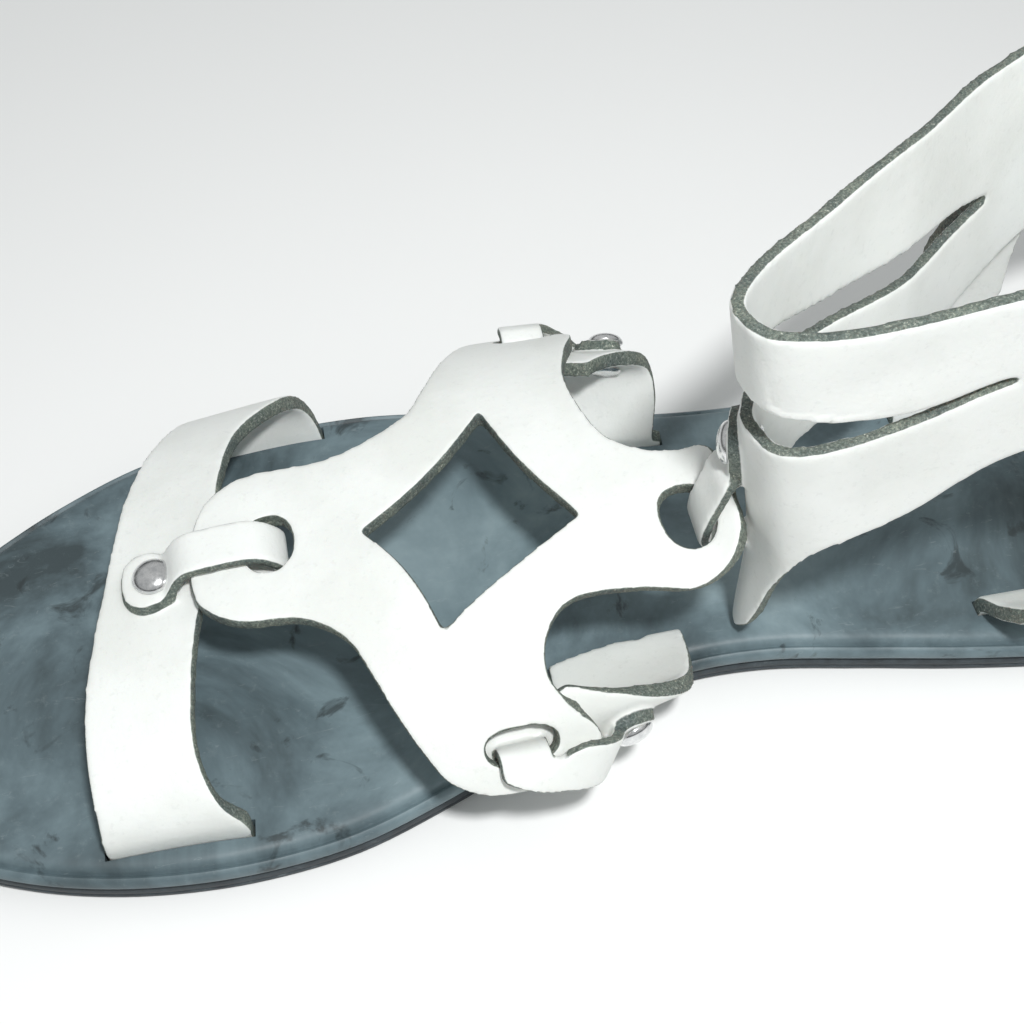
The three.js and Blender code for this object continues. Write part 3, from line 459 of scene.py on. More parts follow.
def white_leather():
    material, shader = new_material("white_leather")
    place = object_place(material)
    face = ramp(material, noise_map(material, place, 45, 5), PIGMENT)
    dirt = ramp(material, noise_map(material, place, 900, 3, 0.7), PIGMENT_DIRT)
    face = mixed(material, 1.0, face, dirt, "MULTIPLY")
    # This noise shapes the cut edge's texture and its bump, and places the painted glints.
    fibre_and_glints = noise_map(material, place, 2600, 6, 0.75, 0.4)
    tint = ramp(material, noise_map(material, place, 160, 3), FIBRE_TINT)
    raw = mixed(material, 1.0, ramp(material, fibre_and_glints, FIBRE_AND_PAINTED_GLINTS), tint, "MULTIPLY")
    cut = add_node(material, "ShaderNodeAttribute", set_attribute_name="cut").outputs["Fac"]
    ragged = add_node(material, "ShaderNodeMath", set_operation="MULTIPLY_ADD")
    link(material, noise_map(material, place, 700, 3, 0.6), ragged.inputs[0])
    ragged.inputs[1].default_value = RAGGEDNESS
    link(material, cut, ragged.inputs[2])
    edge = ramp(material, ragged.outputs[0], EDGE_LINE)
    link(material, mixed(material, edge, face, raw), shader.inputs["Base Color"])
    rough = mixed(material, edge, (0.42,) * 3, (0.95,) * 3)
    link(material, rough, shader.inputs["Roughness"])
    grain = add_node(material, "ShaderNodeTexVoronoi", Scale=1150)
    link(material, place, grain.inputs["Vector"])
    soft = noise_map(material, place, 350, 5)
    first = bump(material, soft, 0.25, 0.0003)
    second = bump(material, grain.outputs["Distance"], 0.16, 0.00012, first)
    link(material, bump(material, fibre_and_glints, 0.22, 0.0002, second), shader.inputs["Normal"])
    shader.inputs["Specular IOR Level"].default_value = 0.42
    shader.inputs["Coat Weight"].default_value = 0.12
    shader.inputs["Coat Roughness"].default_value = 0.35
    shader.inputs["Subsurface Weight"].default_value = 0.03
    return material


WHITE_LEATHER = white_leather()
print("material", WHITE_LEATHER.name, "nodes", len(WHITE_LEATHER.node_tree.nodes))

# %% [markdown]
# The footbed's cover is a dark blue-grey skin, rubbed pale in clouds where the foot slides, with dust, a
# few black marks and fine scratches along the foot. They could be painted by hand. Layers of noise at four
# sizes give the same wear without a picture, and each layer can be changed by itself.

# %% Dark cover of the footbed
WORN_CLOUDS = [
    (0.36, (0.038, 0.056, 0.062)), (0.46, (0.09, 0.13, 0.146)),
    (0.56, (0.15, 0.21, 0.232)), (0.68, (0.23, 0.305, 0.33)),
]
DUST_SHARE = [(0.56, BLACK), (0.78, (0.3,) * 3)]
DUST_COLOUR = (0.3, 0.36, 0.37)
MARK_SHARE = [(0.6, BLACK), (0.68, (0.75,) * 3)]
MARK_COLOUR = (0.018, 0.026, 0.028)
SCRATCH_SHARE = [(0.69, BLACK), (0.71, (0.16,) * 3), (0.73, BLACK)]
SCRATCH_COLOUR = (0.4, 0.45, 0.46)


def footbed_cover():
    material, shader = new_material("footbed_cover")
    place = object_place(material)
    base = ramp(material, noise_map(material, place, 26, 6, 0.62, 0.5), WORN_CLOUDS)
    dust = noise_map(material, place, 420, 8, 0.8)
    base = mixed(material, ramp(material, dust, DUST_SHARE), base, DUST_COLOUR)
    marks = noise_map(material, place, 95, 5, 0.6, 1.2)
    base = mixed(material, ramp(material, marks, MARK_SHARE), base, MARK_COLOUR)
    stretch = add_node(material, "ShaderNodeMapping", Scale=(0.3, 1.3, 1), Rotation=(0, 0, 0.35))
    link(material, place, stretch.inputs["Vector"])
    scratch = noise_map(material, stretch.outputs["Vector"], 420, 2, 0.4, 2.5)
    base = mixed(material, ramp(material, scratch, SCRATCH_SHARE), base, SCRATCH_COLOUR)
    link(material, base, shader.inputs["Base Color"])
    rough = ramp(material, noise_map(material, place, 60, 5), [(0.3, (0.42,) * 3), (0.7, (0.68,) * 3)])
    link(material, rough, shader.inputs["Roughness"])
    fine = bump(material, dust, 0.2, 0.00012)
    waves = noise_map(material, place, 130, 4)
    link(material, bump(material, waves, 0.3, 0.0005, fine), shader.inputs["Normal"])
    shader.inputs["Specular IOR Level"].default_value = 0.5
    return material


FOOTBED_COVER = footbed_cover()
print("material", FOOTBED_COVER.name, "nodes", len(FOOTBED_COVER.node_tree.nodes))

# %% [markdown]
# The outsole is matt black rubber, and dust from the street greys its side. One map of fine noise serves
# as colour, roughness and bump together, because real dust changes all three at the same spots.

# %% Black rubber, dusty at its side
DUSTY_RUBBER = [(0.35, (0.02, 0.026, 0.031)), (0.6, (0.05, 0.064, 0.072)), (0.8, (0.16, 0.19, 0.2))]


def outsole_rubber():
    material, shader = new_material("outsole_rubber")
    place = object_place(material)
    dust = noise_map(material, place, 300, 7, 0.75)
    base = ramp(material, dust, DUSTY_RUBBER)
    link(material, base, shader.inputs["Base Color"])
    link(material, ramp(material, dust, [(0.3, (0.5,) * 3), (0.7, (0.8,) * 3)]), shader.inputs["Roughness"])
    link(material, bump(material, dust, 0.3, 0.00015), shader.inputs["Normal"])
    return material


OUTSOLE_RUBBER = outsole_rubber()
print("material", OUTSOLE_RUBBER.name, "nodes", len(OUTSOLE_RUBBER.node_tree.nodes))

# %% [markdown]
# The rivets are bright nickel plate, handled enough to have lost some of its mirror. A plain metal shader
# would look like chrome in a shop window, so the same wear map dulls both its colour and its gloss.

# %% Bright nickel of the rivets
NICKEL = [(0.3, (0.55, 0.56, 0.57)), (0.6, (0.8, 0.8, 0.8))]
NICKEL_ROUGHNESS = [(0.35, (0.12,) * 3), (0.7, (0.32,) * 3)]


def rivet_nickel():
    material, shader = new_material("rivet_nickel")
    place = object_place(material)
    wear = noise_map(material, place, 800, 5, 0.7)
    link(material, ramp(material, wear, NICKEL), shader.inputs["Base Color"])
    link(material, ramp(material, wear, NICKEL_ROUGHNESS), shader.inputs["Roughness"])
    link(material, bump(material, wear, 0.08, 0.00008), shader.inputs["Normal"])
    shader.inputs["Metallic"].default_value = 1
    return material


RIVET_NICKEL = rivet_nickel()
print("material", RIVET_NICKEL.name, "nodes", len(RIVET_NICKEL.node_tree.nodes))

# %% [markdown]
# The sole is two flat layers with one outline. Each could be an extruded curve, but its side has steps:
# a bead round the footbed, a groove under it and a fine line along the rubber. So a ring of the outline
# is set in and raised by a small profile, and the top is a grid that can take dents.

# %% The sole's rings
SOLE_STATIONS = 150
TOP_COLUMNS = 44


def spacing(share):
    return math.acos(1 - 2 * share) / math.pi


OUTLINE_ROWS = [{**row, "key": spacing(row["at"])} for row in OUTLINE]


def outline_ring():
    keys = [k / SOLE_STATIONS for k in range(SOLE_STATIONS + 1)]
    ring = []
    for side, order in (("medial", keys), ("lateral", keys[-2:0:-1])):
        for key in order:
            at = (1 - math.cos(math.pi * key)) / 2
            ring.append((to_x(at), BALL_WIDTH * look_up(OUTLINE_ROWS, "key", side, key)))
    return np.array(ring)


OUTLINE_RING = outline_ring()


def inset_ring(inset):
    before, after = np.roll(OUTLINE_RING, 1, 0), np.roll(OUTLINE_RING, -1, 0)
    along = after - before
    along /= np.linalg.norm(along, axis=1, keepdims=True)
    return OUTLINE_RING + np.stack([along[:, 1], -along[:, 0]], 1) * inset


def bend_of(share):
    return TOE_SPRING * max(0, (share - TOE_SPRING_START) / (1 - TOE_SPRING_START)) ** 2


WAIST_START = 0.3
WAIST_SHARE = 0.25


def arch_of(share):
    waist = min(max((share - WAIST_START) / WAIST_SHARE, 0), 1)
    return WAIST_RISE * math.sin(math.pi * waist) ** 2


def sole_layer(levels):
    rings = []
    for inset, height, flat in levels:
        ring = []
        for x, y in inset_ring(inset):
            share = min(max((x + HEEL_SEAT) / SOLE_LENGTH, 0), 1)
            ring.append((x, y, height + bend_of(share) + (arch_of(share) if flat else 0)))
        rings.append(ring)
    count = len(OUTLINE_RING)
    points = [p for ring in rings for p in ring]
    faces = []
    for level in range(len(levels) - 1):
        for i in range(count):
            a = level * count + i
            b = level * count + (i + 1) % count
            faces.append([a, b, b + count, a + count])
    for top in (False, True):
        start = (len(levels) - 1) * count if top else 0
        rows = []
        for k in range(SOLE_STATIONS + 1):
            left, right = start + k, start + (count - k) % count
            if left == right:
                rows.append([left])
                continue
            row = [left]
            for m in range(1, TOP_COLUMNS):
                t = m / TOP_COLUMNS
                points.append(tuple((1 - t) * p + t * q for p, q in zip(points[left], points[right])))
                row.append(len(points) - 1)
            rows.append([*row, right])
        for low, high in zip(rows, rows[1:]):
            for m in range(TOP_COLUMNS):
                a, b = low[min(m, len(low) - 1)], low[min(m + 1, len(low) - 1)]
                c, d = high[min(m + 1, len(high) - 1)], high[min(m, len(high) - 1)]
                face = list(dict.fromkeys([a, b, c, d]))
                if len(face) > 2:
                    faces.append(face if top else face[::-1])
    return points, faces, [BROAD] * len(faces)


# Each level is its inset from the outline, its height, and whether the waist's arch lifts it
outsole = mesh_object("outsole_rubber_layer", [sole_layer([
    (1.1, 0, True), (0.8, 0.18, True), (0.6, 0.5, True), (0.5, 0.9, False), (0.45, 1.2, False),
    (0.62, 1.38, False), (0.72, 1.5, False), (0.62, 1.62, False), (0.45, 1.8, False), (0.48, 2.3, False),
    (0.6, 2.8, False), (0.85, 3.12, False), (1.1, OUTSOLE_THICKNESS, False),
])])
print("outsole", len(outsole.data.polygons), "faces")

# %% [markdown]
# The footbed's rim is a moulded bead, then a crease, then the soft top. The top carries the wearer's
# prints: shallow hollows under heel and ball, and puckers where each strap pulls at its slot.

# %% The footbed
RIM = FOOTBED_TOP - FOOTBED_BOTTOM


def rim_level(inset, share):
    return (inset, FOOTBED_BOTTOM + RIM * share, False)


footbed = mesh_object("footbed_cover_layer", [sole_layer([
    rim_level(1.2, 0), rim_level(0.6, 0.05), rim_level(0.25, 0.14), rim_level(0.06, 0.25),
    rim_level(0, 0.36), rim_level(0.06, 0.47), rim_level(0.22, 0.58), rim_level(0.5, 0.67),
    rim_level(0.85, 0.71), rim_level(1.15, 0.67), rim_level(1.4, 0.62), rim_level(1.6, 0.7),
    rim_level(1.85, 0.83), rim_level(2.3, 0.93), rim_level(2.9, 0.98), rim_level(3.6, 1),
])])
print("footbed before its slots", len(footbed.data.polygons), "faces")

# %% [markdown]
# Pieces of the upper. A cutter would lay paper patterns on the hide. Here each pattern is a short table
# in the last's own numbers: the star's four sides between its arms as (at, turn), the two edges of the
# band, and for a side strap the turn, at and lift of its rear edge and of its front edge, row by row.

# %% Patterns of the straps
STAR_SIDES = [
    [[0.7585, 10], [0.758, -4], [0.753, -19], [0.741, -30], [0.717, -34.5], [0.666, -31.7],
     [0.619, -36.9], [0.603, -45], [0.586, -55.7], [0.568, -64.7], [0.555, -72], [0.529, -74.5]],
    [[0.529, -74.5], [0.502, -70.5], [0.494, -59.1], [0.505, -47.2], [0.512, -33.8], [0.502, -13],
     [0.483, -4.5], [0.461, -1], [0.444, 1.5], [0.4385, 10.8], [0.4385, 18]],
    [[0.4385, 18], [0.439, 27.3], [0.451, 34.6], [0.473, 39], [0.504, 38.5], [0.542, 39.2],
     [0.56, 45.5], [0.565, 53.3], [0.558, 58.7], [0.543, 65], [0.54, 70], [0.555, 73.8], [0.584, 75]],
    [[0.584, 75], [0.609, 74.2], [0.628, 71.2], [0.638, 67], [0.651, 59.1], [0.661, 50.8],
     [0.674, 40], [0.698, 32.7], [0.733, 30.4], [0.754, 22], [0.7585, 10]],
]
DIAMOND = [[0.654, 4], [0.57, -31.2], [0.528, 16.2], [0.617, 42.9]]
DIAMOND_MIDDLE = [0.592, 9]
DIAMOND_BULGE = 0.07
STAR_CURL = 3
NARROW_SIDE = 2
NARROW_EASE = 2.4
STAR_SLOTS = table(["at", "turn", "length", "sweep", "squareness"], [
    [0.7105, -1, 7.5, 25, 0.85],
    [0.5245, -63.2, 9.6, 7.2, 0.8],
    [0.4674, 20.3, 7.6, 18, 0.9],
    [0.586, 66, 10, 7, 0.85],
])
TOE_BAND = table(["turn", "rear", "front", "pull"], [
    [-104, 0.667, 0.737, 0.07], [-90, 0.668, 0.739, 0.07], [-80, 0.676, 0.749, 0.03],
    [-71, 0.69, 0.765, 0], [-60, 0.722, 0.785, 0], [-45, 0.737, 0.8, 0], [-20, 0.743, 0.81, 0],
    [0, 0.75, 0.816, 0], [25, 0.76, 0.823, 0], [45, 0.766, 0.829, 0], [61, 0.768, 0.831, 0],
    [72.5, 0.76, 0.829, 0], [81, 0.748, 0.829, 0.03], [90, 0.745, 0.83, 0.06], [104, 0.744, 0.831, 0.06],
])
MEDIAL_STRAP = [
    [104, 0.468, -22.4, 104, 0.53, -21.2], [90, 0.468, -22.4, 90, 0.53, -21.2],
    [86, 0.467, -21.6, 87, 0.531, -20.6], [76, 0.47, -14.8, 83, 0.541, -11.4],
    [69.8, 0.479, -8.2, 79, 0.558, -4.8], [64, 0.506, -3.9, 75.4, 0.59, -3.3],
    [60.5, 0.531, -3.1, 71.8, 0.617, -3.1], [57, 0.552, -3.1, 65.1, 0.622, -3.1],
]
LATERAL_STRAP = [
    [-104, 0.433, -11.9, -104, 0.496, -12.9], [-90, 0.433, -11.9, -90, 0.496, -12.9],
    [-86, 0.433, -11.5, -86.5, 0.497, -12.4], [-76, 0.432, -7.8, -81, 0.504, -8.4],
    [-68, 0.438, -4, -75.6, 0.516, -4.7], [-60.5, 0.453, -3.2, -69.4, 0.531, -3.3],
    [-55, 0.473, -3.1, -64.5, 0.545, -3.1], [-49, 0.49, -3.1, -57.4, 0.556, -3.1],
]
print("star slots:", len(STAR_SLOTS), "rows of the band:", len(TOE_BAND))

# %% [markdown]
# Patterns of the cuff and of the tongues. The cuff has a plan at its top and one lower down, because it
# flares, and its edges and slit are heights that change round the leg (0 is the front, half a turn is the
# back). A tongue's flat end is a row of (share across, share along, share of its full width) on the piece
# that it lies on. Where a tongue bends over an arm's tip, its rows are (at, turn, lift, slant).

# %% Patterns of the cuff and of the tongues
CUFF_PLAN = table(["topX", "topY", "lowX", "lowY"], [
    [1.012, 0.173, 0.901, 0.16], [1.018, 0.235, 0.895, 0.222], [0.985, 0.285, 0.864, 0.28],
    [0.88, 0.298, 0.778, 0.305], [0.617, 0.3, 0.556, 0.296], [0.247, 0.335, 0.235, 0.325],
    [-0.062, 0.315, -0.05, 0.31], [-0.272, 0.2, -0.235, 0.21], [-0.355, 0, -0.31, 0],
    [-0.29, -0.23, -0.25, -0.22], [-0.1, -0.38, -0.074, -0.34], [0.185, -0.41, 0.173, -0.34],
    [0.4, -0.34, 0.407, -0.22], [0.6, -0.197, 0.57, -0.08], [0.78, -0.065, 0.73, -0.005],
    [0.935, 0.062, 0.85, 0.075],
])
CUFF_EDGES = table(["round", "bottom", "top", "slitLow", "slitHigh"], [
    [-0.5, 58, 86, 70, 71], [-0.4, 56, 82, 66, 67], [-0.3, 46, 79, 58, 59],
    [-0.247, 39, 77, 54.6, 55.7], [-0.224, 36.5, 76.6, 53.4, 56.6], [-0.176, 34.5, 76.4, 53.4, 58.6],
    [-0.138, 35.5, 76.9, 54.7, 59.8], [-0.084, 38, 77.2, 57.4, 62.4], [-0.05, 35, 78.3, 59.3, 65],
    [-0.03, 26, 79.5, 60.5, 67], [-0.018, 15, 80.6, 61, 68.2], [0, 8.6, 82.6, 61.5, 69],
    [0.018, 15.5, 83.7, 62, 69.9], [0.026, 27, 84.2, 62.2, 70.2], [0.04, 38.2, 84.6, 63, 70.2],
    [0.062, 43.5, 84.1, 64.2, 69.1], [0.1, 47.6, 84.8, 67, 69], [0.145, 56, 86.8, 72, 73],
    [0.2, 60, 88, 74, 75], [0.3, 61, 88, 74, 75], [0.5, 58, 86, 70, 71],
])
SLIT_FAR = -0.247
SLIT_NEAR = 0.145
CUFF_LOOP = [
    [74.6, 31.4], [77.4, 32.8], [80.2, 33.3], [81.9, 35], [82, 37], [81.5, 40], [80.5, 43.6], [79.7, 46.6],
]
CUFF_TONGUE_Y = 12.6
HEEL_STRAP = table(["ahead", "medial", "lateral", "height"], [
    [0.343, 0.222, -0.27, 3.6], [0.343, 0.222, -0.27, 7.6], [0.342, 0.232, -0.278, 9.6],
    [0.335, 0.29, -0.31, 14], [0.32, 0.352, -0.347, 21], [0.307, 0.37, -0.37, 31],
    [0.298, 0.37, -0.384, 40],
])
MEDIAL_OVER = [
    [0.581, 70.4, 2.9, 18], [0.572, 70.6, 3, 40], [0.559, 71.2, 2.95, 56],
    [0.547, 72.6, 2.3, 62], [0.536, 74.4, 0.5, 64],
]
LATERAL_OVER = [
    [0.521, -70.5, 2.8, 15], [0.513, -74, 2.7, 35], [0.501, -76, 1.7, 50], [0.489, -75.3, -0.5, 60],
]
TOE_TONGUE = [
    [0.5, 0.37, 1.12], [0.5, 0.48, 1.3], [0.5, 0.6, 1.34],
    [0.5, 0.7, 1.1], [0.5, 0.755, 0.75], [0.5, 0.78, 0.3],
]
TOE_RIVET_PLACE = [0.5, 0.48]
MEDIAL_TONGUE = [
    [0.52, 0.6, 1], [0.48, 0.6, 1.05], [0.43, 0.595, 1.05], [0.37, 0.583, 0.85], [0.33, 0.573, 0.45],
]
LATERAL_TONGUE = [
    [0.42, 0.64, 1], [0.35, 0.65, 1], [0.28, 0.655, 1], [0.21, 0.655, 0.85], [0.16, 0.65, 0.45],
]
CUFF_FRONT = 0.495
CUFF_RIVET_PLACE = [CUFF_FRONT, 0.59]
MEDIAL_HEEL_PLACE = [0.815, 0.22]
LATERAL_HEEL_PLACE = [0.145, 0.42]
print("rows of the cuff's edges:", len(CUFF_EDGES))

# %% [markdown]
# The star lies over the instep and is cut from one piece: a diamond hole in its middle and a slot in each
# arm. It could be a flat cut-out bent by a modifier, but then its outline would shift as it bends. So it
# is a ring of cells from the diamond out to the edge, laid straight on the last. The slots are cut for
# real with a boolean, because the tongues have to pass through them. Its rear tip curls up a little.

# %% The star's surface and its slots
CURL_START = 0.478
CURL_LENGTH = 0.038
CURL_SIDE = 60


def star_curl(at, turn):
    reach = min(max((CURL_START - at) / CURL_LENGTH, 0), 1)
    return STAR_CURL * reach * reach if abs(turn) < CURL_SIDE else 0


def star_middle(u, v):
    place = (u % 1) * 4
    quarter = min(int(place), 3)
    f = place - quarter
    start, end = np.array(DIAMOND[quarter]), np.array(DIAMOND[(quarter + 1) % 4])
    bulge = 1 - DIAMOND_BULGE * math.sin(math.pi * f)
    share = 1 - (1 - f) ** NARROW_EASE if quarter == NARROW_SIDE else f
    middle = np.array(DIAMOND_MIDDLE)
    inner = middle + (start + (end - start) * share - middle) * bulge
    at, turn = inner + (through_points(STAR_SIDES[quarter], f) - inner) * v
    return on_last(at, turn, star_curl(at, turn))


def slot_cutter(slot, reach=3.6, around=40):
    points = []
    for level in (-reach, reach):
        for i in range(around):
            angle = 2 * math.pi * i / around
            c, s = math.cos(angle), math.sin(angle)
            x = math.copysign(abs(c) ** slot["squareness"], c)
            y = math.copysign(abs(s) ** slot["squareness"], s)
            at = slot["at"] + x * slot["length"] / 2 / SOLE_LENGTH
            turn = slot["turn"] + y * slot["sweep"] / 2
            points.append(on_last(at, turn, level + star_curl(at, turn)))
    faces = [[i, (i + 1) % around, around + (i + 1) % around, around + i] for i in range(around)]
    faces += [list(range(around))[::-1], list(range(around, 2 * around))]
    return points, faces, [CUT] * len(faces)


def cut_with(piece, part):
    cutter = mesh_object("cutter", [part])
    cut = piece.modifiers.new("cut", "BOOLEAN")
    cut.operation = "DIFFERENCE"
    cut.solver = "EXACT"
    cut.object = cutter
    apply_modifiers(piece)
    bpy.data.objects.remove(cutter)


star = mesh_object("instep_star_leather", [sheet(grid_of(star_middle, 256, 22), LEATHER, round_=True)])
for star_slot in STAR_SLOTS:
    cut_with(star, slot_cutter(star_slot))
print("star with its slots:", len(star.data.polygons), "faces")


# %% [markdown]
# Bands and ribbons. The toe band and the side straps rise from slots in the sole and lie on the foot, so
# their edges are rows on the last, and the surface runs straight from edge to edge. A tongue leaves the
# last and turns over on itself, so it is a ribbon: a line of centres, each with its own width and the
# direction of that width. A curve with a bevel would twist at the folds, where the written width doesn't.

# %% The surfaces of the bands and ribbons
def toe_band_middle(u, v):
    turn = TOE_BAND[0]["turn"] + (TOE_BAND[-1]["turn"] - TOE_BAND[0]["turn"]) * u
    rear, front, pull = (look_up(TOE_BAND, "turn", name, turn) for name in ("rear", "front", "pull"))
    point = on_last(rear + (front - rear) * v, turn, UNDER_LIFT)
    point.y *= 1 - pull
    return point


def strap_middle(rows):
    rear = [(row[1], row[0], row[2]) for row in rows]
    front = [(row[4], row[3], row[5]) for row in rows]

    def middle(u, v):
        a, b = through_points(rear, v), through_points(front, v)
        return on_last(*(a + (b - a) * u))

    return middle


def turn_after(at, turn, distance, steps=12):
    angle = turn
    for _ in range(steps):
        per_degree = (last_surface(at, angle + 0.5) - last_surface(at, angle - 0.5)).length
        angle += distance / steps / per_degree
    return angle


def ribbon(rows):
    packed, before = [], None
    for centre, side, width in rows:
        across = Vector(side).normalized()
        if before is not None and before.dot(across) < 0:
            across = -across
        before = across
        packed.append((*centre, *across, width))

    def middle(u, v):
        row = through_points(packed, v)
        across = Vector(row[3:6]).normalized()
        return Vector(row[:3]) + across * ((u - 0.5) * row[6])

    return middle


# %% [markdown]
# The hairpin. A tongue goes under an arm's tip, up through its slot and back over the tip, which is what
# holds such a sandal together without a buckle. Cloth simulation could drape it, but a hairpin of thick
# leather has a shape that can be written down: flat below, a round bend in the slot, flat above. Each row
# is a distance out from the slot's edge and a lift off the star. The toe's tongue hangs slack in its slot.

# %% The hairpin that a tongue makes round an arm's tip
HAIRPIN_REACH = LEATHER / 2 + CLEARANCE + TONGUE_LEATHER / 2 + 0.1
HAIRPIN_CENTRE = 0.8
HAIRPIN_ROUND = 0.74
HAIRPIN_START = 0.9


def hairpin(bridge):
    over = HAIRPIN_REACH
    bend = over * HAIRPIN_ROUND
    return [
        (bridge * HAIRPIN_START, UNDER_LIFT),
        (HAIRPIN_CENTRE + 1.6, -over - SAG), (HAIRPIN_CENTRE, -over - SAG),
        (HAIRPIN_CENTRE - bend, -bend), (HAIRPIN_CENTRE - over, 0), (HAIRPIN_CENTRE - bend, bend),
        (HAIRPIN_CENTRE, over),
    ]


def toe_hairpin(slot, tip):
    edge = slot["at"] + slot["length"] / 2 / SOLE_LENGTH
    bridge = (tip - edge) * SOLE_LENGTH
    under = [
        (bridge * HAIRPIN_START, UNDER_LIFT), (3, -HAIRPIN_REACH - SAG), (-0.6, -HAIRPIN_REACH - 0.9),
    ]
    slack = [(-4, -HAIRPIN_REACH - 0.5), (-5.2, -1.9), (-4, 0.3), (-1.8, 2.1), (0.8, HAIRPIN_REACH)]
    over = [
        (bridge * 0.55, HAIRPIN_REACH + 0.05), (bridge - 0.6, HAIRPIN_REACH),
        (bridge + 1.3, HAIRPIN_REACH - 0.9),
    ]
    rows = []
    for out, lift in under + slack + over:
        place = edge + out / SOLE_LENGTH
        side = on_last(place, slot["turn"] + 2, lift) - on_last(place, slot["turn"] - 2, lift)
        rows.append((on_last(place, slot["turn"], lift), side, TONGUE_WIDTH))
    return rows


def side_hairpin(slot, tip, over_rows):
    away = math.copysign(1, slot["turn"])
    at = slot["at"]
    edge = slot["turn"] + away * slot["sweep"] / 2
    bridge = (last_surface(at, edge) - last_surface(at, tip)).length
    bend = [(at, turn_after(at, edge, away * out), lift, 0) for out, lift in hairpin(bridge)]
    rows = []
    for place, angle, lift, lean in bend + [tuple(row) for row in over_rows]:
        along = (on_last(place + 4e-3, angle, lift) - on_last(place - 4e-3, angle, lift)).normalized()
        down = (on_last(place, angle + away, lift) - on_last(place, angle - away, lift)).normalized()
        slant = math.radians(lean)
        side = along * math.cos(slant) + down * math.sin(slant)
        rows.append((on_last(place, angle, lift), side, TONGUE_WIDTH))
    return rows


def facing(middle, u, v, outward):
    step = 1e-3
    across = Vector(middle(u + step, v)) - Vector(middle(u - step, v))
    along = Vector(middle(u, min(v + step, 1))) - Vector(middle(u, max(v - step, 0)))
    normal = across.cross(along).normalized()
    return -normal if normal.dot(Vector(outward)) < 0 else normal


def rows_on(middle, places, outward, offset, width):
    normals = [facing(middle, u, v, outward) for u, v, _ in places]
    centres = [Vector(middle(u, v)) + n * offset for (u, v, _), n in zip(places, normals)]
    rows = []
    for i, (_, _, share) in enumerate(places):
        path = centres[min(i + 1, len(places) - 1)] - centres[max(i - 1, 0)]
        rows.append((centres[i], normals[i].cross(path), width * share))
    return rows


UP, TO_MEDIAL, TO_LATERAL, TO_TOE = (0, 0, 1), (0, 1, 0), (0, -1, 0), (1, 0, 0)
ON_STRAP = LEATHER / 2 + TONGUE_RISE / 2
medial_middle = strap_middle(MEDIAL_STRAP)
lateral_middle = strap_middle(LATERAL_STRAP)
toe_tongue = ribbon(
    toe_hairpin(STAR_SLOTS[0], STAR_SIDES[3][-1][0])
    + rows_on(toe_band_middle, TOE_TONGUE, UP, ON_STRAP, TONGUE_WIDTH)
)
medial_tongue = ribbon(
    side_hairpin(STAR_SLOTS[3], STAR_SIDES[2][-1][1], MEDIAL_OVER)
    + rows_on(medial_middle, MEDIAL_TONGUE, TO_MEDIAL, ON_STRAP, TONGUE_WIDTH)
)
lateral_tongue = ribbon(
    side_hairpin(STAR_SLOTS[1], STAR_SIDES[0][-1][1], LATERAL_OVER)
    + rows_on(lateral_middle, LATERAL_TONGUE, TO_LATERAL, ON_STRAP, TONGUE_WIDTH)
)
print("tongue from the band, first point:", [round(v, 1) for v in toe_tongue(0.5, 0)])

# %% [markdown]
# The ankle cuff is one strap round the leg, cut with a long slit so that it opens in two bands, and
# narrowing in front to a tongue. It is a ring whose plan changes from low to high, as leather does
# when it flares. The slit is simply a row of cells left out between the two bands.

# %% The cuff's surface
CUFF_TOP_PLAN = [(row["topX"] * BALL_WIDTH, row["topY"] * BALL_WIDTH) for row in CUFF_PLAN]
CUFF_LOW_PLAN = [(row["lowX"] * BALL_WIDTH, row["lowY"] * BALL_WIDTH) for row in CUFF_PLAN]
RING_STEPS = 400
ring_points = np.array([through_points(CUFF_TOP_PLAN, i / RING_STEPS, True) for i in range(RING_STEPS + 1)])
RING_LENGTHS = np.concatenate([[0], np.cumsum(np.linalg.norm(np.diff(ring_points, axis=0), axis=1))])
CUFF_CLOSE = 0.3
FOOT_BEND = 14
BAND_ROWS = {"low": 16, "slit": 4, "high": 12}


def ring_place(round_):
    length = (round_ % 1) * RING_LENGTHS[-1]
    return float(np.interp(length, RING_LENGTHS, np.arange(RING_STEPS + 1))) / RING_STEPS


def cuff_point(round_, height):
    t = ring_place(round_)
    top, low = through_points(CUFF_TOP_PLAN, t, True), through_points(CUFF_LOW_PLAN, t, True)
    f = (height - CUFF_LOW) / (CUFF_TOP - CUFF_LOW)
    upright = math.log1p(math.exp(FOOT_BEND * f)) / FOOT_BEND
    return Vector((*(low + (top - low) * upright), height))


def cuff_round(u):
    side = 2 * u - 1
    return side * (CUFF_CLOSE + (0.5 - CUFF_CLOSE) * side * side)


def cuff_middle(u, v):
    round_ = cuff_round(u)
    bottom, top = (look_up(CUFF_EDGES, "round", name, round_) for name in ("bottom", "top"))
    return cuff_point(round_, bottom + (top - bottom) * v)


CUFF_COLUMNS = 300
BAND_EDGES = ("bottom", "slitLow", "slitHigh", "top")


def cuff_grid():
    rows = []
    for band, count in enumerate(BAND_ROWS.values()):
        for k in range(count + (band == 2)):
            row = []
            for i in range(CUFF_COLUMNS + 1):
                round_ = cuff_round(i / CUFF_COLUMNS)
                low, high = (look_up(CUFF_EDGES, "round", n, round_) for n in BAND_EDGES[band:band + 2])
                row.append(cuff_point(round_, low + (high - low) * k / count))
            rows.append(row)
    return np.array(rows)


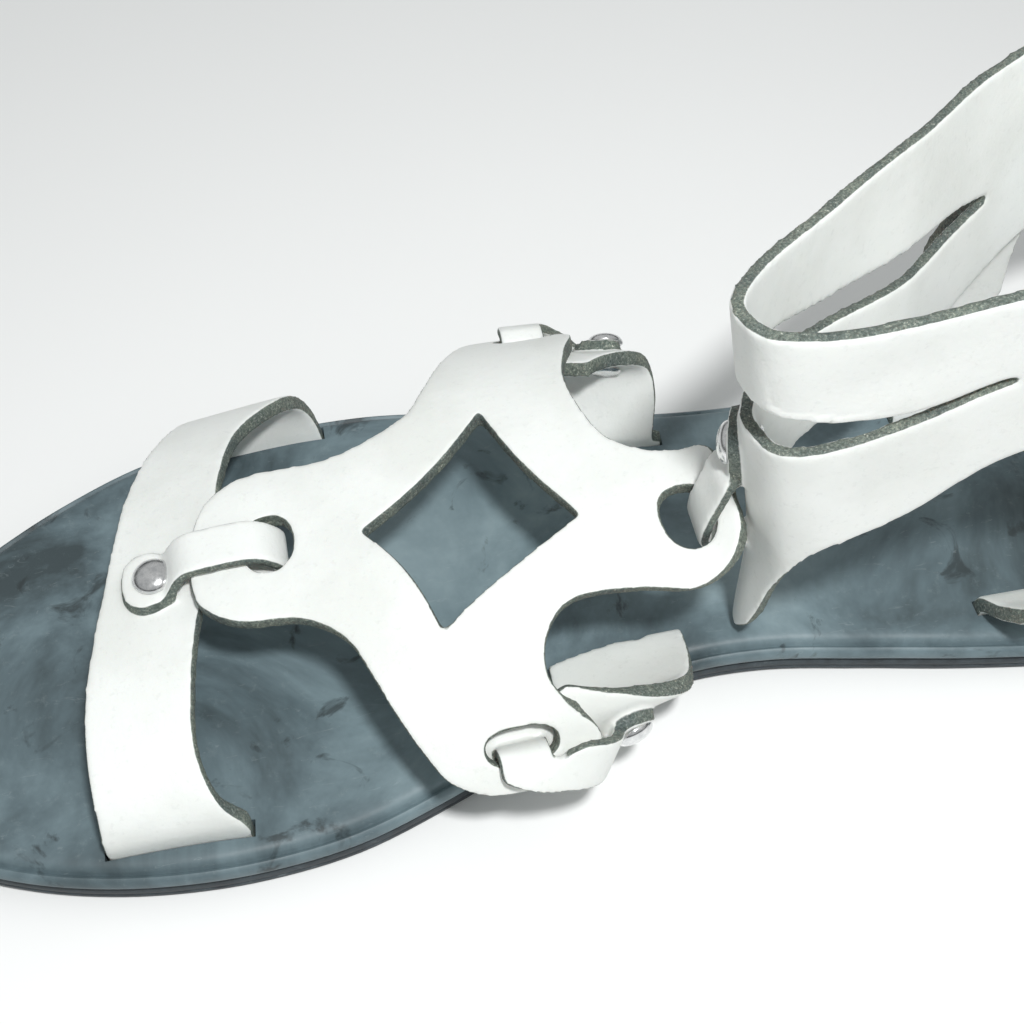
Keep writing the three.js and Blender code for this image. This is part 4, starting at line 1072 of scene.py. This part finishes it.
slit_rows = range(BAND_ROWS["low"], BAND_ROWS["low"] + BAND_ROWS["slit"])
slit_cells = {
    (i, j)
    for i in range(CUFF_COLUMNS)
    for j in slit_rows
    if SLIT_FAR <= cuff_round(i / CUFF_COLUMNS) and cuff_round((i + 1) / CUFF_COLUMNS) <= SLIT_NEAR
}
print("cells left out for the slit:", len(slit_cells))


# %% [markdown]
# The cuff's tongue starts narrow inside the cuff's front, runs forward under the star's rear arm, up
# through its slot and back, flat on the cuff, where a rivet holds it. The heel straps come up out of the
# footbed and lie flat on the cuff's sides. Both are ribbons again: free rows first, then rows on the cuff.

# %% The cuff's tongue and the heel straps
def cuff_tongue_rows():
    inside = [[CUFF_FRONT, v, w] for v, w in ((0.2, 0.3), (0.26, 0.45))]
    flat = [[CUFF_FRONT, v, w] for v, w in ((0.53, 1), (0.57, 1), (0.61, 1), (0.64, 0.9), (0.665, 0.5))]
    widths = [0.5, 0.8] + [1] * (len(CUFF_LOOP) - 2)
    free = [
        (Vector((ahead, CUFF_TONGUE_Y, height)), TO_MEDIAL, TONGUE_WIDTH * share)
        for (ahead, height), share in zip(CUFF_LOOP, widths)
    ]
    first = rows_on(cuff_middle, inside, TO_TOE, 0, TONGUE_WIDTH)
    last = rows_on(cuff_middle, flat, TO_TOE, CUFF_LEATHER / 2 + TONGUE_RISE / 2, TONGUE_WIDTH)
    return first + free + last


def heel_strap_rows(side, place):
    free = [
        (Vector((row["ahead"] * BALL_WIDTH, row[side] * BALL_WIDTH, row["height"])), TO_TOE, HEEL_STRAP_WIDTH)
        for row in HEEL_STRAP
    ]
    outward = TO_MEDIAL if side == "medial" else TO_LATERAL
    steps = ((-0.16, 1), (0, 1), (0.1, 0.97), (0.145, 0.82), (0.17, 0.45))
    places = [[place[0], place[1] + v, w] for v, w in steps]
    offset = CUFF_LEATHER / 2 + CLEARANCE + LEATHER / 2
    return free + rows_on(cuff_middle, places, outward, offset, HEEL_STRAP_WIDTH)


cuff_tongue = ribbon(cuff_tongue_rows())
medial_heel = ribbon(heel_strap_rows("medial", MEDIAL_HEEL_PLACE))
lateral_heel = ribbon(heel_strap_rows("lateral", LATERAL_HEEL_PLACE))
print("heel strap's end on the cuff:", [round(v, 1) for v in medial_heel(0.5, 1)])

# %% [markdown]
# Now every sheet becomes soft leather, and a strap and its tongue become one piece. The creases come from
# the photograph's real folds: a soft hollow beside the star's front slot where the tongue pulls, swells
# on its arms, and long shallow waves round the slack cuff. Noise would put folds anywhere, so each crease
# is a given line, with its own width and depth.

# %% Make the leather soft
STAR_VOXEL = 0.38
STRAP_VOXEL = 0.42
CUFF_VOXEL = 0.53


def spot(at, turn):
    return tuple(on_last(at, turn, 0))


STAR_CREASES = [
    (spot(0.70, -14), spot(0.725, -14), 3.0, 0.35),
    (spot(0.70, 13), spot(0.725, 13), 3.0, 0.35),
    (spot(0.64, -25), spot(0.60, -42), 5, -0.35),
    (spot(0.60, 45), spot(0.60, 58), 4.5, 0.4),
    (spot(0.50, 12), spot(0.49, 30), 4.5, -0.3),
]
soften(star, STAR_VOXEL, STAR_CREASES)
dress(star, "instep_star", "white_leather", WHITE_LEATHER)


def strap_piece(name, node, parts, voxel=STRAP_VOXEL, creases=()):
    piece = mesh_object(name, parts)
    soften(piece, voxel, creases)
    return dress(piece, node, "white_leather", WHITE_LEATHER)


strap_piece("toe_band_leather", "toe_band", [
    sheet(grid_of(toe_band_middle, 120, 16), LEATHER),
    sheet(grid_of(toe_tongue, 8, 120), TONGUE_LEATHER),
])
strap_piece("medial_side_leather", "medial_side_strap", [
    sheet(grid_of(medial_middle, 18, 50), LEATHER),
    sheet(grid_of(medial_tongue, 8, 120), TONGUE_LEATHER),
])
strap_piece("lateral_side_leather", "lateral_side_strap", [
    sheet(grid_of(lateral_middle, 18, 50), LEATHER),
    sheet(grid_of(lateral_tongue, 8, 120), TONGUE_LEATHER),
])
CUFF_CREASES = [
    ((60, 24, 78), (76, 22, 72), 5, 0.5),
    ((30, 26, 72), (46, 25, 82), 7, 0.5),
    ((66, 22, 50), (60, 25, 60), 4.5, 0.4),
]
strap_piece("ankle_cuff_leather", "ankle_cuff", [
    sheet(cuff_grid(), CUFF_LEATHER, round_=True, open_cells=slit_cells),
    sheet(grid_of(cuff_tongue, 8, 130), TONGUE_LEATHER),
], CUFF_VOXEL, CUFF_CREASES)
strap_piece("medial_heel_leather", "medial_heel_strap", [sheet(grid_of(medial_heel, 14, 80), LEATHER)])
strap_piece("lateral_heel_leather", "lateral_heel_strap", [sheet(grid_of(lateral_heel, 14, 80), LEATHER)])

# %% [markdown]
# Slots in the footbed. Each is a narrow cut that the strap fills, so all that shows is a dark line. It
# could be painted, but cutting it for real keeps that line true from every side. Before the cuts, shallow
# prints of heel, ball and toe and a few puckers beside the slots are pressed in, as creases are in leather.

# %% Slots and prints of the footbed
def foot_slot(middle, columns=10):
    def foot(u, v):
        point = Vector(middle(-0.005 + 1.01 * u, 0))
        point.z = FOOTBED_BOTTOM - 2 + (FOOTBED_TOP + 4 - FOOTBED_BOTTOM) * v
        return point

    return sheet(grid_of(foot, columns, 1), LEATHER + CLEARANCE / 2)


def turned(middle, v):
    return lambda u, _: middle(v, u)


FOOT_EDGES = [medial_middle, lateral_middle, medial_heel, lateral_heel]
FOOT_EDGES += [turned(toe_band_middle, 0), turned(toe_band_middle, 1)]
FOOT_PRINTS = [
    ((-4, -1, FOOTBED_TOP), (14, -1, FOOTBED_TOP), 17, 0.5),
    ((128, -16, FOOTBED_TOP), (132, 16, FOOTBED_TOP), 18, 0.45),
    ((176, -6, FOOTBED_TOP), (184, 16, FOOTBED_TOP), 9, 0.3),
    ((84, 22, FOOTBED_TOP), (88, 9, FOOTBED_TOP), 2.2, 0.45),
    ((93, 20, FOOTBED_TOP), (95, 12, FOOTBED_TOP), 2.0, 0.3),
    ((30, 12, FOOTBED_TOP), (38, 6, FOOTBED_TOP), 3.0, 0.35),
    ((24, 10, FOOTBED_TOP), (20, 14, FOOTBED_TOP), 2.4, 0.3),
    ((150, 32, FOOTBED_TOP), (146, 24, FOOTBED_TOP), 2.2, 0.3),
]
press(footbed.data, FOOT_PRINTS)
for edge in FOOT_EDGES:
    cut_with(footbed, foot_slot(edge))
for sole_piece, node, slot_name, material in (
    (footbed, "footbed", "footbed_cover", FOOTBED_COVER),
    (outsole, "outsole", "outsole_rubber", OUTSOLE_RUBBER),
):
    sole_piece.data.polygons.foreach_set("use_smooth", [True] * len(sole_piece.data.polygons))
    sole_piece.data.set_sharp_from_angle(angle=math.radians(48))
    dress(sole_piece, node, slot_name, material)
print("footbed", len(footbed.data.polygons), "faces")

# %% [markdown]
# Rivets. Each is a domed nickel cap on a short shank, pressed through both layers. A dome is a turned
# form, so a profile spun round the rivet's own axis gives it, with a rolled foot that bites the leather.

# %% Rivet caps
RIVET_HEAD_RADIUS = 3
RIVET_HEAD_HEIGHT = 1.9
RIVET_CAP_RADIUS = 2.6
RIVET_SHANK_RADIUS = 1.2
RIVET_TURNS = 40
OVER_CUFF = CLEARANCE + LEATHER


def rivet_profile(grip):
    dome = [
        (RIVET_HEAD_RADIUS * math.sin(a), 0.35 + (RIVET_HEAD_HEIGHT - 0.35) * math.cos(a))
        for a in (math.pi / 2 * k / 10 for k in range(11))
    ]
    foot = [(RIVET_HEAD_RADIUS, 0.18), (RIVET_HEAD_RADIUS * 0.95, 0.03), (RIVET_SHANK_RADIUS, 0.02)]
    back = [
        (RIVET_SHANK_RADIUS, -grip - 0.1), (RIVET_CAP_RADIUS * 0.96, -grip - 0.12),
        (RIVET_CAP_RADIUS, -grip - 0.4), (RIVET_CAP_RADIUS * 0.85, -grip - 0.78),
        (0.9, -grip - 0.7), (0, -grip - 0.6),
    ]
    return dome + foot + back


def rivet(name, node, middle, place, outward, leather, added):
    u, v = place[0], place[1]
    axis = facing(middle, u, v, outward)
    origin = Vector(middle(u, v)) + axis * (leather / 2 + added)
    turn = Vector((0, 0, 1)).rotation_difference(axis).to_matrix()
    profile = rivet_profile(leather + added)
    points, faces = [], []
    for k in range(RIVET_TURNS):
        angle = 2 * math.pi * k / RIVET_TURNS
        for r, h in profile:
            points.append(origin + turn @ Vector((r * math.cos(angle), r * math.sin(angle), h)))
    count = len(profile)
    for k in range(RIVET_TURNS):
        n = (k + 1) % RIVET_TURNS
        for j in range(count - 1):
            quad = [k * count + j, n * count + j, n * count + j + 1, k * count + j + 1]
            if j == 0:
                quad = [0, n * count + 1, k * count + 1]
            elif j == count - 2:
                quad = [k * count + j, n * count + j, count - 1]
            faces.append(quad)
    used = sorted({i for face in faces for i in face})
    order = {old: new for new, old in enumerate(used)}
    faces = [[order[i] for i in face] for face in faces]
    piece = mesh_object(name, [([points[i] for i in used], faces, [BROAD] * len(faces))])
    piece.data.polygons.foreach_set("use_smooth", [True] * len(faces))
    piece.data.set_sharp_from_angle(angle=math.radians(50))
    dress(piece, node, "rivet_nickel", RIVET_NICKEL)


RIVETS = [
    ("toe_rivet", toe_band_middle, TOE_RIVET_PLACE, UP, LEATHER, TONGUE_RISE),
    ("medial_side_rivet", medial_middle, MEDIAL_TONGUE[-3], TO_MEDIAL, LEATHER, TONGUE_RISE),
    ("lateral_side_rivet", lateral_middle, LATERAL_TONGUE[-3], TO_LATERAL, LEATHER, TONGUE_RISE),
    ("cuff_rivet", cuff_middle, CUFF_RIVET_PLACE, TO_TOE, CUFF_LEATHER, TONGUE_RISE),
    ("medial_heel_rivet", cuff_middle, MEDIAL_HEEL_PLACE, TO_MEDIAL, CUFF_LEATHER, OVER_CUFF),
    ("lateral_heel_rivet", cuff_middle, LATERAL_HEEL_PLACE, TO_LATERAL, CUFF_LEATHER, OVER_CUFF),
]
for rivet_node, *seat in RIVETS:
    rivet(f"{rivet_node}_cap", rivet_node, *seat)
print("rivets made:", len(RIVETS))

# %% [markdown]
# The set: a pale floor, a bright room that is darker below the horizon, and one small strong light above
# the camera's side. The photograph was lit by a small flash beside the lens, so its shadows are near the
# pieces and have firm edges. A large soft light would wash them out. The camera stands where the sole's
# two long edges fall on the photograph's.

# %% Floor, light and camera
CAMERA_PLACE = Vector((132.97, 131.8, 206.54)) * MM
CAMERA_AIM = Vector((102.34, -20.8, 0)) * MM
LENS = 52.73
SENSOR_WIDTH = 36
NEAREST, FARTHEST = 0.01, 20
FLOOR_SIDE = 4.0
FLOOR_TONES = [(0.3, (0.84, 0.85, 0.845)), (0.7, (0.88, 0.89, 0.885))]
ROOM_TONES = [(0.12, (0.16, 0.17, 0.17)), (0.42, (0.96, 0.98, 0.98))]
ROOM_STRENGTH = 0.52
KEY_PLACE = (0.087, 0.155, 0.36)
KEY_SIZE = 0.036
KEY_POWER = 1.22
SANDAL_MIDDLE = (0.09, 0, 0.03)


def studio_floor():
    material, shader = new_material("studio_floor")
    place = object_place(material)
    tone = ramp(material, noise_map(material, place, 3, 3), FLOOR_TONES)
    link(material, tone, shader.inputs["Base Color"])
    shader.inputs["Roughness"].default_value = 0.8
    half = FLOOR_SIDE / 2
    corners = [(-half, -half, 0), (half, -half, 0), (half, half, 0), (-half, half, 0)]
    mesh = bpy.data.meshes.new("floor")
    mesh.from_pydata(corners, [], [[0, 1, 2, 3]])
    mesh.materials.append(material)
    floor = bpy.data.objects.new("floor", mesh)
    bpy.context.scene.collection.objects.link(floor)


def flash(name, place, aim, size, power):
    lamp = bpy.data.lights.new(name, "AREA")
    lamp.shape = "DISK"
    lamp.size = size
    lamp.energy = power
    holder = bpy.data.objects.new(name, lamp)
    holder.location = place
    holder.rotation_euler = (Vector(aim) - Vector(place)).to_track_quat("-Z", "Y").to_euler()
    bpy.context.scene.collection.objects.link(holder)


studio_floor()
flash("key_light", KEY_PLACE, SANDAL_MIDDLE, KEY_SIZE, KEY_POWER)
world = bpy.data.worlds.new("studio")
world.use_nodes = True
world_place = add_node(world, "ShaderNodeTexCoord").outputs["Generated"]
height_axes = add_node(world, "ShaderNodeSeparateXYZ")
link(world, world_place, height_axes.inputs[0])
room = ramp(world, height_axes.outputs["Z"], ROOM_TONES)
backdrop = world.node_tree.nodes["Background"]
link(world, room, backdrop.inputs["Color"])
backdrop.inputs["Strength"].default_value = ROOM_STRENGTH
bpy.context.scene.world = world
bpy.context.scene.view_settings.view_transform = "Standard"

camera = bpy.data.objects.new("camera", bpy.data.cameras.new("camera"))
camera.data.lens = LENS
camera.data.sensor_width = SENSOR_WIDTH
camera.data.clip_start = NEAREST
camera.data.clip_end = FARTHEST
camera.location = CAMERA_PLACE
camera.rotation_euler = (CAMERA_AIM - CAMERA_PLACE).to_track_quat("-Z", "Y").to_euler()
bpy.context.scene.collection.objects.link(camera)
bpy.context.scene.camera = camera
print("camera", round((CAMERA_AIM - CAMERA_PLACE).length, 3), "m from its aim, lens", LENS)

# %% [markdown]
# Last, the scene is brought up to date.

# %% The end
bpy.context.view_layer.update()
